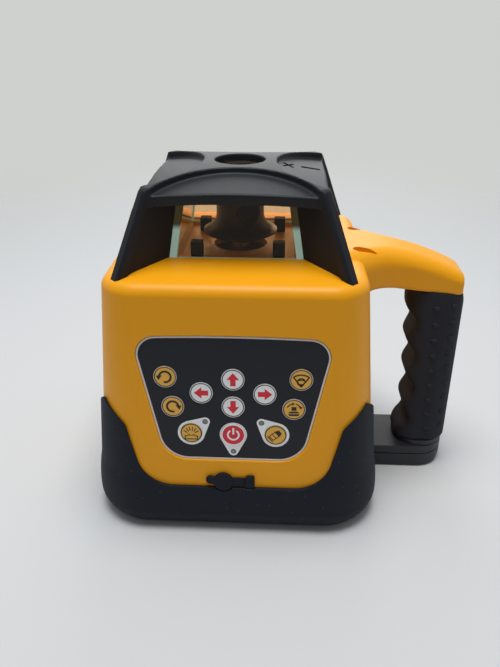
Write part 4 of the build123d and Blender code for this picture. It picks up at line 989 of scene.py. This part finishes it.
class LEVEL_OT_grip(bpy.types.Operator):
    """Rubber handle grip with soft finger hollows, rounded ends and two columns of nubs on each side."""
    bl_idname = "level.grip"
    bl_label = "Handle grip"

    def execute(self, context):
        sizes = context.scene.level_sizes
        grip = melted(skinned(cad_copy("handle_grip", "soft_grip"), sizes.grip_skin), grip_rounds)
        low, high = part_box("handle_grip")
        fade = finger_fade * mm

        def finger_side(place):
            """Weight that grows towards the fingers and fades at the grip's ends."""
            end = min(place.z - low.z, high.z - place.z) / fade - 0.25
            near_fingers = ((low.x + high.x) / 2 + fade / 2 - place.x) / fade
            return min(1, max(0, end)) * min(1, max(0, near_fingers))

        melted(grip, finger_rounds, weighed(grip, "finger side", finger_side))
        bpy.ops.object.select_all(action="DESELECT")
        bpy.ops.mesh.primitive_uv_sphere_add(segments=20, ring_count=10, radius=1.0)
        nub = context.active_object
        edit(nub)
        bpy.ops.mesh.bisect(plane_co=(0, 0, -0.2), plane_no=(0, 0, 1), use_fill=True, clear_inner=True)
        close_edit()
        placed(nub, Matrix.Diagonal((nub_half[0] * mm, nub_half[1] * mm, sizes.nub_height, 1)))
        nubs = []
        for column, lean, top in nub_columns:
            for row in range(nub_rows):
                for side in (-1, 1):
                    start = ((column + lean * row) * mm, side * 60 * mm, (top - nub_pitch * row) * mm)
                    nubs.append(copied(nub, upright_on(grip, start, (0, -side, 0))))
        bpy.data.objects.remove(nub)
        grip = joined([grip, *nubs], "soft_grip")
        only(grip)
        bpy.ops.object.shade_smooth_by_angle(angle=math.radians(30))
        # Moulded soft rubber: matt and slightly brown against the bumper
        paint(grip, moulded("grip_rubber", context.scene.level_colours.grip, 0.8, 0.9, 0.08, 0.08, 0.25))
        settle(grip, "housing", "black_rubber", "handle_grip")
        return {"FINISHED"}


class LEVEL_OT_small_rubbers(bpy.types.Operator):
    """Charge port plug, its anchor and the deck's buffers, with rounded edges."""
    bl_idname = "level.small_rubbers"
    bl_label = "Plug, anchor and buffers"

    def execute(self, context):
        for node, body, width in small_rubbers:
            piece = cad_copy(node, "soft_" + node)
            if node == "port_plug":
                strap_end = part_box(node)[1].x
                for corner in piece.data.vertices:
                    if corner.co.x > strap_end - 0.01 * mm:
                        corner.co.x += strap_reach * mm
            soften(piece, width * mm, 3)
            paint(piece, bpy.data.materials["bumper_rubber"])
            settle(piece, body, "black_rubber", node)
        return {"FINISHED"}


class LEVEL_OT_border(bpy.types.Operator):
    """Pale border round the keypad panel."""
    bl_idname = "level.border"
    bl_label = "Panel border"

    def execute(self, context):
        border = sheet(panel_outline())
        border.name = "panel_border"
        edit(border)
        bpy.ops.mesh.select_mode(type="FACE")
        bpy.ops.mesh.select_all(action="SELECT")
        bpy.ops.mesh.inset(thickness=border_inset * mm)
        bpy.ops.mesh.select_all(action="INVERT")
        bpy.ops.mesh.delete(type="FACE")
        bpy.ops.mesh.select_all(action="SELECT")
        bpy.ops.mesh.inset(thickness=context.scene.level_sizes.border_width)
        bpy.ops.mesh.delete(type="FACE")
        bpy.ops.mesh.select_all(action="SELECT")
        bpy.ops.mesh.extrude_region_move(TRANSFORM_OT_translate={"value": (0, 0, border_height * mm)})
        close_edit()
        on_front(border, panel_recess)
        # Screen print on film: a pale, slightly pink line that frames the panel
        paint(border, printed("border_print", context.scene.level_colours.border, 0.4))
        settle(border, "housing", "white_keys")
        return {"FINISHED"}


class LEVEL_OT_lamp_drops(bpy.types.Operator):
    """White printed drops from the three lower keys to their lamps."""
    bl_idname = "level.lamp_drops"
    bl_label = "Lamp drops"

    def execute(self, context):
        for key, lamp in lamp_places.items():
            x, y = key_places[key]
            reach = math.hypot(lamp[0] - x, lamp[1] - y)
            turn = math.degrees(math.atan2(lamp[1] - y, lamp[0] - x))
            hole = power_key_radius if key == "key_power" else small_key_radius
            outline = moved(drop_outline(drop_radius, drop_lamp_radius, reach), (x, y), turn)
            drop = slab(outline, context.scene.level_sizes.print_height)
            drop.name = key.replace("key", "lamp_drop")
            for place, radius in (((x, y), hole + drop_key_gap), (lamp, lamp_hole)):
                bpy.ops.object.select_all(action="DESELECT")
                bpy.ops.mesh.primitive_cylinder_add(vertices=64, radius=radius * mm, depth=4 * mm,
                                                    location=(place[0] * mm, place[1] * mm, 0))
                cut(drop, context.active_object)
            on_front(drop, panel_recess)
            paint(drop, bpy.data.materials["white_key_print"])
            settle(drop, "housing", "white_keys")
        return {"FINISHED"}


class LEVEL_OT_lamps(bpy.types.Operator):
    """Three indicator lights with domed lenses."""
    bl_idname = "level.lamps"
    bl_label = "Indicator lights"

    def execute(self, context):
        lamps = soften(cad_copy("indicator_lights", "lamp_lenses"), lamp_dome * mm, 4)
        paint(lamps, bpy.data.materials["lamp_epoxy"])
        settle(lamps, "housing", "clear_plastic", "indicator_lights")
        return {"FINISHED"}


class LEVEL_OT_key_prints(bpy.types.Operator):
    """Signs, rims and pale halos printed on the keys."""
    bl_idname = "level.key_prints"
    bl_label = "Key prints"

    def execute(self, context):
        height = context.scene.level_sizes.print_height
        # Screen ink: near-black brown, satin
        ink = printed("sign_ink", context.scene.level_colours.ink, 0.45)
        red = bpy.data.materials["red_key_print"]
        white = bpy.data.materials["white_key_print"]
        pale = bpy.data.materials["border_print"]
        signs = {"key_turn_left": turn_sign(1), "key_turn_right": turn_sign(-1), "key_scan": scan_sign(),
                 "key_speed": speed_sign(), "key_tilt_alarm": alarm_sign(), "key_manual": manual_sign(),
                 "key_power": power_sign()}
        signs.update({key: arrow_sign(turn) for key, turn in arrow_turns.items()})
        for key, place in key_places.items():
            body = next(joint["child"] for joint in frame["joints"] if joint["name"] == key + "_press")
            tint = red if key in arrow_turns else white if key == "key_power" else ink
            sign = joined([slab(outline, height) for outline in signs[key]], "sign_" + key)
            prints = [(sign, tint, key_proud)]
            if key == "key_power":
                rings = [("rim_", power_key_radius + ring_proud, power_rim_width, white, 0)]
            elif key in lamp_places:
                rings = [("rim_", small_key_radius - small_rim_gap, small_rim_width, ink, key_proud)]
            else:
                rim_radius = key_radius + ring_proud - halo_width
                halo = white if key in arrow_turns else pale
                rings = [("halo_", key_radius + ring_proud, halo_width, halo, 0),
                         ("rim_", rim_radius, rim_width, ink, key_proud)]
            for label, radius, width, finish, foot in rings:
                rim = ring(radius, width, (key_proud - foot) * mm + height)
                rim.name = label + key
                prints.append((rim, finish, foot))
            for piece, finish, foot in prints:
                on_front(shift(piece, place, foot), panel_recess)
                settle(paint(piece, finish), body, "white_keys")
        return {"FINISHED"}


class LEVEL_OT_fasteners(bpy.types.Operator):
    """Base screws with a hexagon socket in each head."""
    bl_idname = "level.fasteners"
    bl_label = "Base screws"

    def execute(self, context):
        screws = cad_copy("base_screws", "socket_screws")
        bpy.ops.object.select_all(action="DESELECT")
        bpy.ops.mesh.primitive_cylinder_add(vertices=6, radius=socket_radius * mm, depth=socket_length * mm)
        key = context.active_object
        for places, head in screw_places:
            for x, y in places:
                cut(screws, copied(key, Matrix.Translation((x * mm, y * mm, head * mm))))
        bpy.data.objects.remove(key)
        smooth(screws)
        paint(screws, bpy.data.materials["turned_steel"])
        settle(screws, "housing", "bright_steel", "base_screws")
        return {"FINISHED"}


class LEVEL_OT_thread(bpy.types.Operator):
    """Tripod plate with the turns of its thread cut into the bore."""
    bl_idname = "level.thread"
    bl_label = "Tripod thread"

    def execute(self, context):
        plate = cad_copy("tripod_plate", "threaded_plate")
        inside, outside = bore_radius - bore_overlap, bore_radius + thread_cut
        flank = (outside - inside) * math.tan(math.radians(thread_half_angle))
        groove = sheet([(inside, -flank), (outside, 0), (inside, flank)])
        stand = Matrix.Rotation(math.radians(90), 4, "X")
        placed(groove, Matrix.Translation((0, 0, -thread_pitch * mm)) @ stand)
        modified(groove, "SCREW", screw_offset=thread_pitch * mm, iterations=thread_turns, steps=48,
                 render_steps=48)
        edit(groove)
        bpy.ops.mesh.remove_doubles(threshold=0.001 * mm)
        bpy.ops.mesh.fill_holes(sides=3)
        close_edit()
        smooth(cut(plate, groove))
        paint(plate, bpy.data.materials["die_cast_aluminium"])
        settle(plate, "housing", "cast_aluminium", "tripod_plate")
        return {"FINISHED"}


class LEVEL_PT_panel(bpy.types.Panel):
    """The level's operators and their sizes and colours."""
    bl_idname = "LEVEL_PT_panel"
    bl_label = "Laser level"
    bl_space_type = "VIEW_3D"
    bl_region_type = "UI"
    bl_category = "Laser level"

    def draw(self, context):
        for operator in operators:
            self.layout.operator(operator.bl_idname)
        for group in (context.scene.level_sizes, context.scene.level_colours):
            column = self.layout.column()
            for name in group.__annotations__:
                column.prop(group, name)


operators = (LEVEL_OT_stage, LEVEL_OT_finishes, LEVEL_OT_housing, LEVEL_OT_cage, LEVEL_OT_panes,
             LEVEL_OT_bumper, LEVEL_OT_grip, LEVEL_OT_small_rubbers, LEVEL_OT_border, LEVEL_OT_lamp_drops,
             LEVEL_OT_lamps, LEVEL_OT_key_prints, LEVEL_OT_fasteners, LEVEL_OT_thread)
classes = (LevelColours, LevelSizes, *operators, LEVEL_PT_panel)


def register():
    """Register the classes and hang the property groups on the scene."""
    for item in classes:
        bpy.utils.register_class(item)
    bpy.types.Scene.level_colours = bpy.props.PointerProperty(type=LevelColours)
    bpy.types.Scene.level_sizes = bpy.props.PointerProperty(type=LevelSizes)


def unregister():
    """Take the property groups and classes away again."""
    del bpy.types.Scene.level_sizes
    del bpy.types.Scene.level_colours
    for item in reversed(classes):
        bpy.utils.unregister_class(item)


def main():
    """Dress the level."""
    register()
    bpy.ops.level.stage()
    bpy.ops.level.finishes()
    bpy.ops.level.housing()
    bpy.ops.level.cage()
    bpy.ops.level.panes()
    bpy.ops.level.bumper()
    bpy.ops.level.grip()
    bpy.ops.level.small_rubbers()
    bpy.ops.level.border()
    bpy.ops.level.lamp_drops()
    bpy.ops.level.lamps()
    bpy.ops.level.key_prints()
    bpy.ops.level.fasteners()
    bpy.ops.level.thread()


if __name__ == "__main__":
    main()
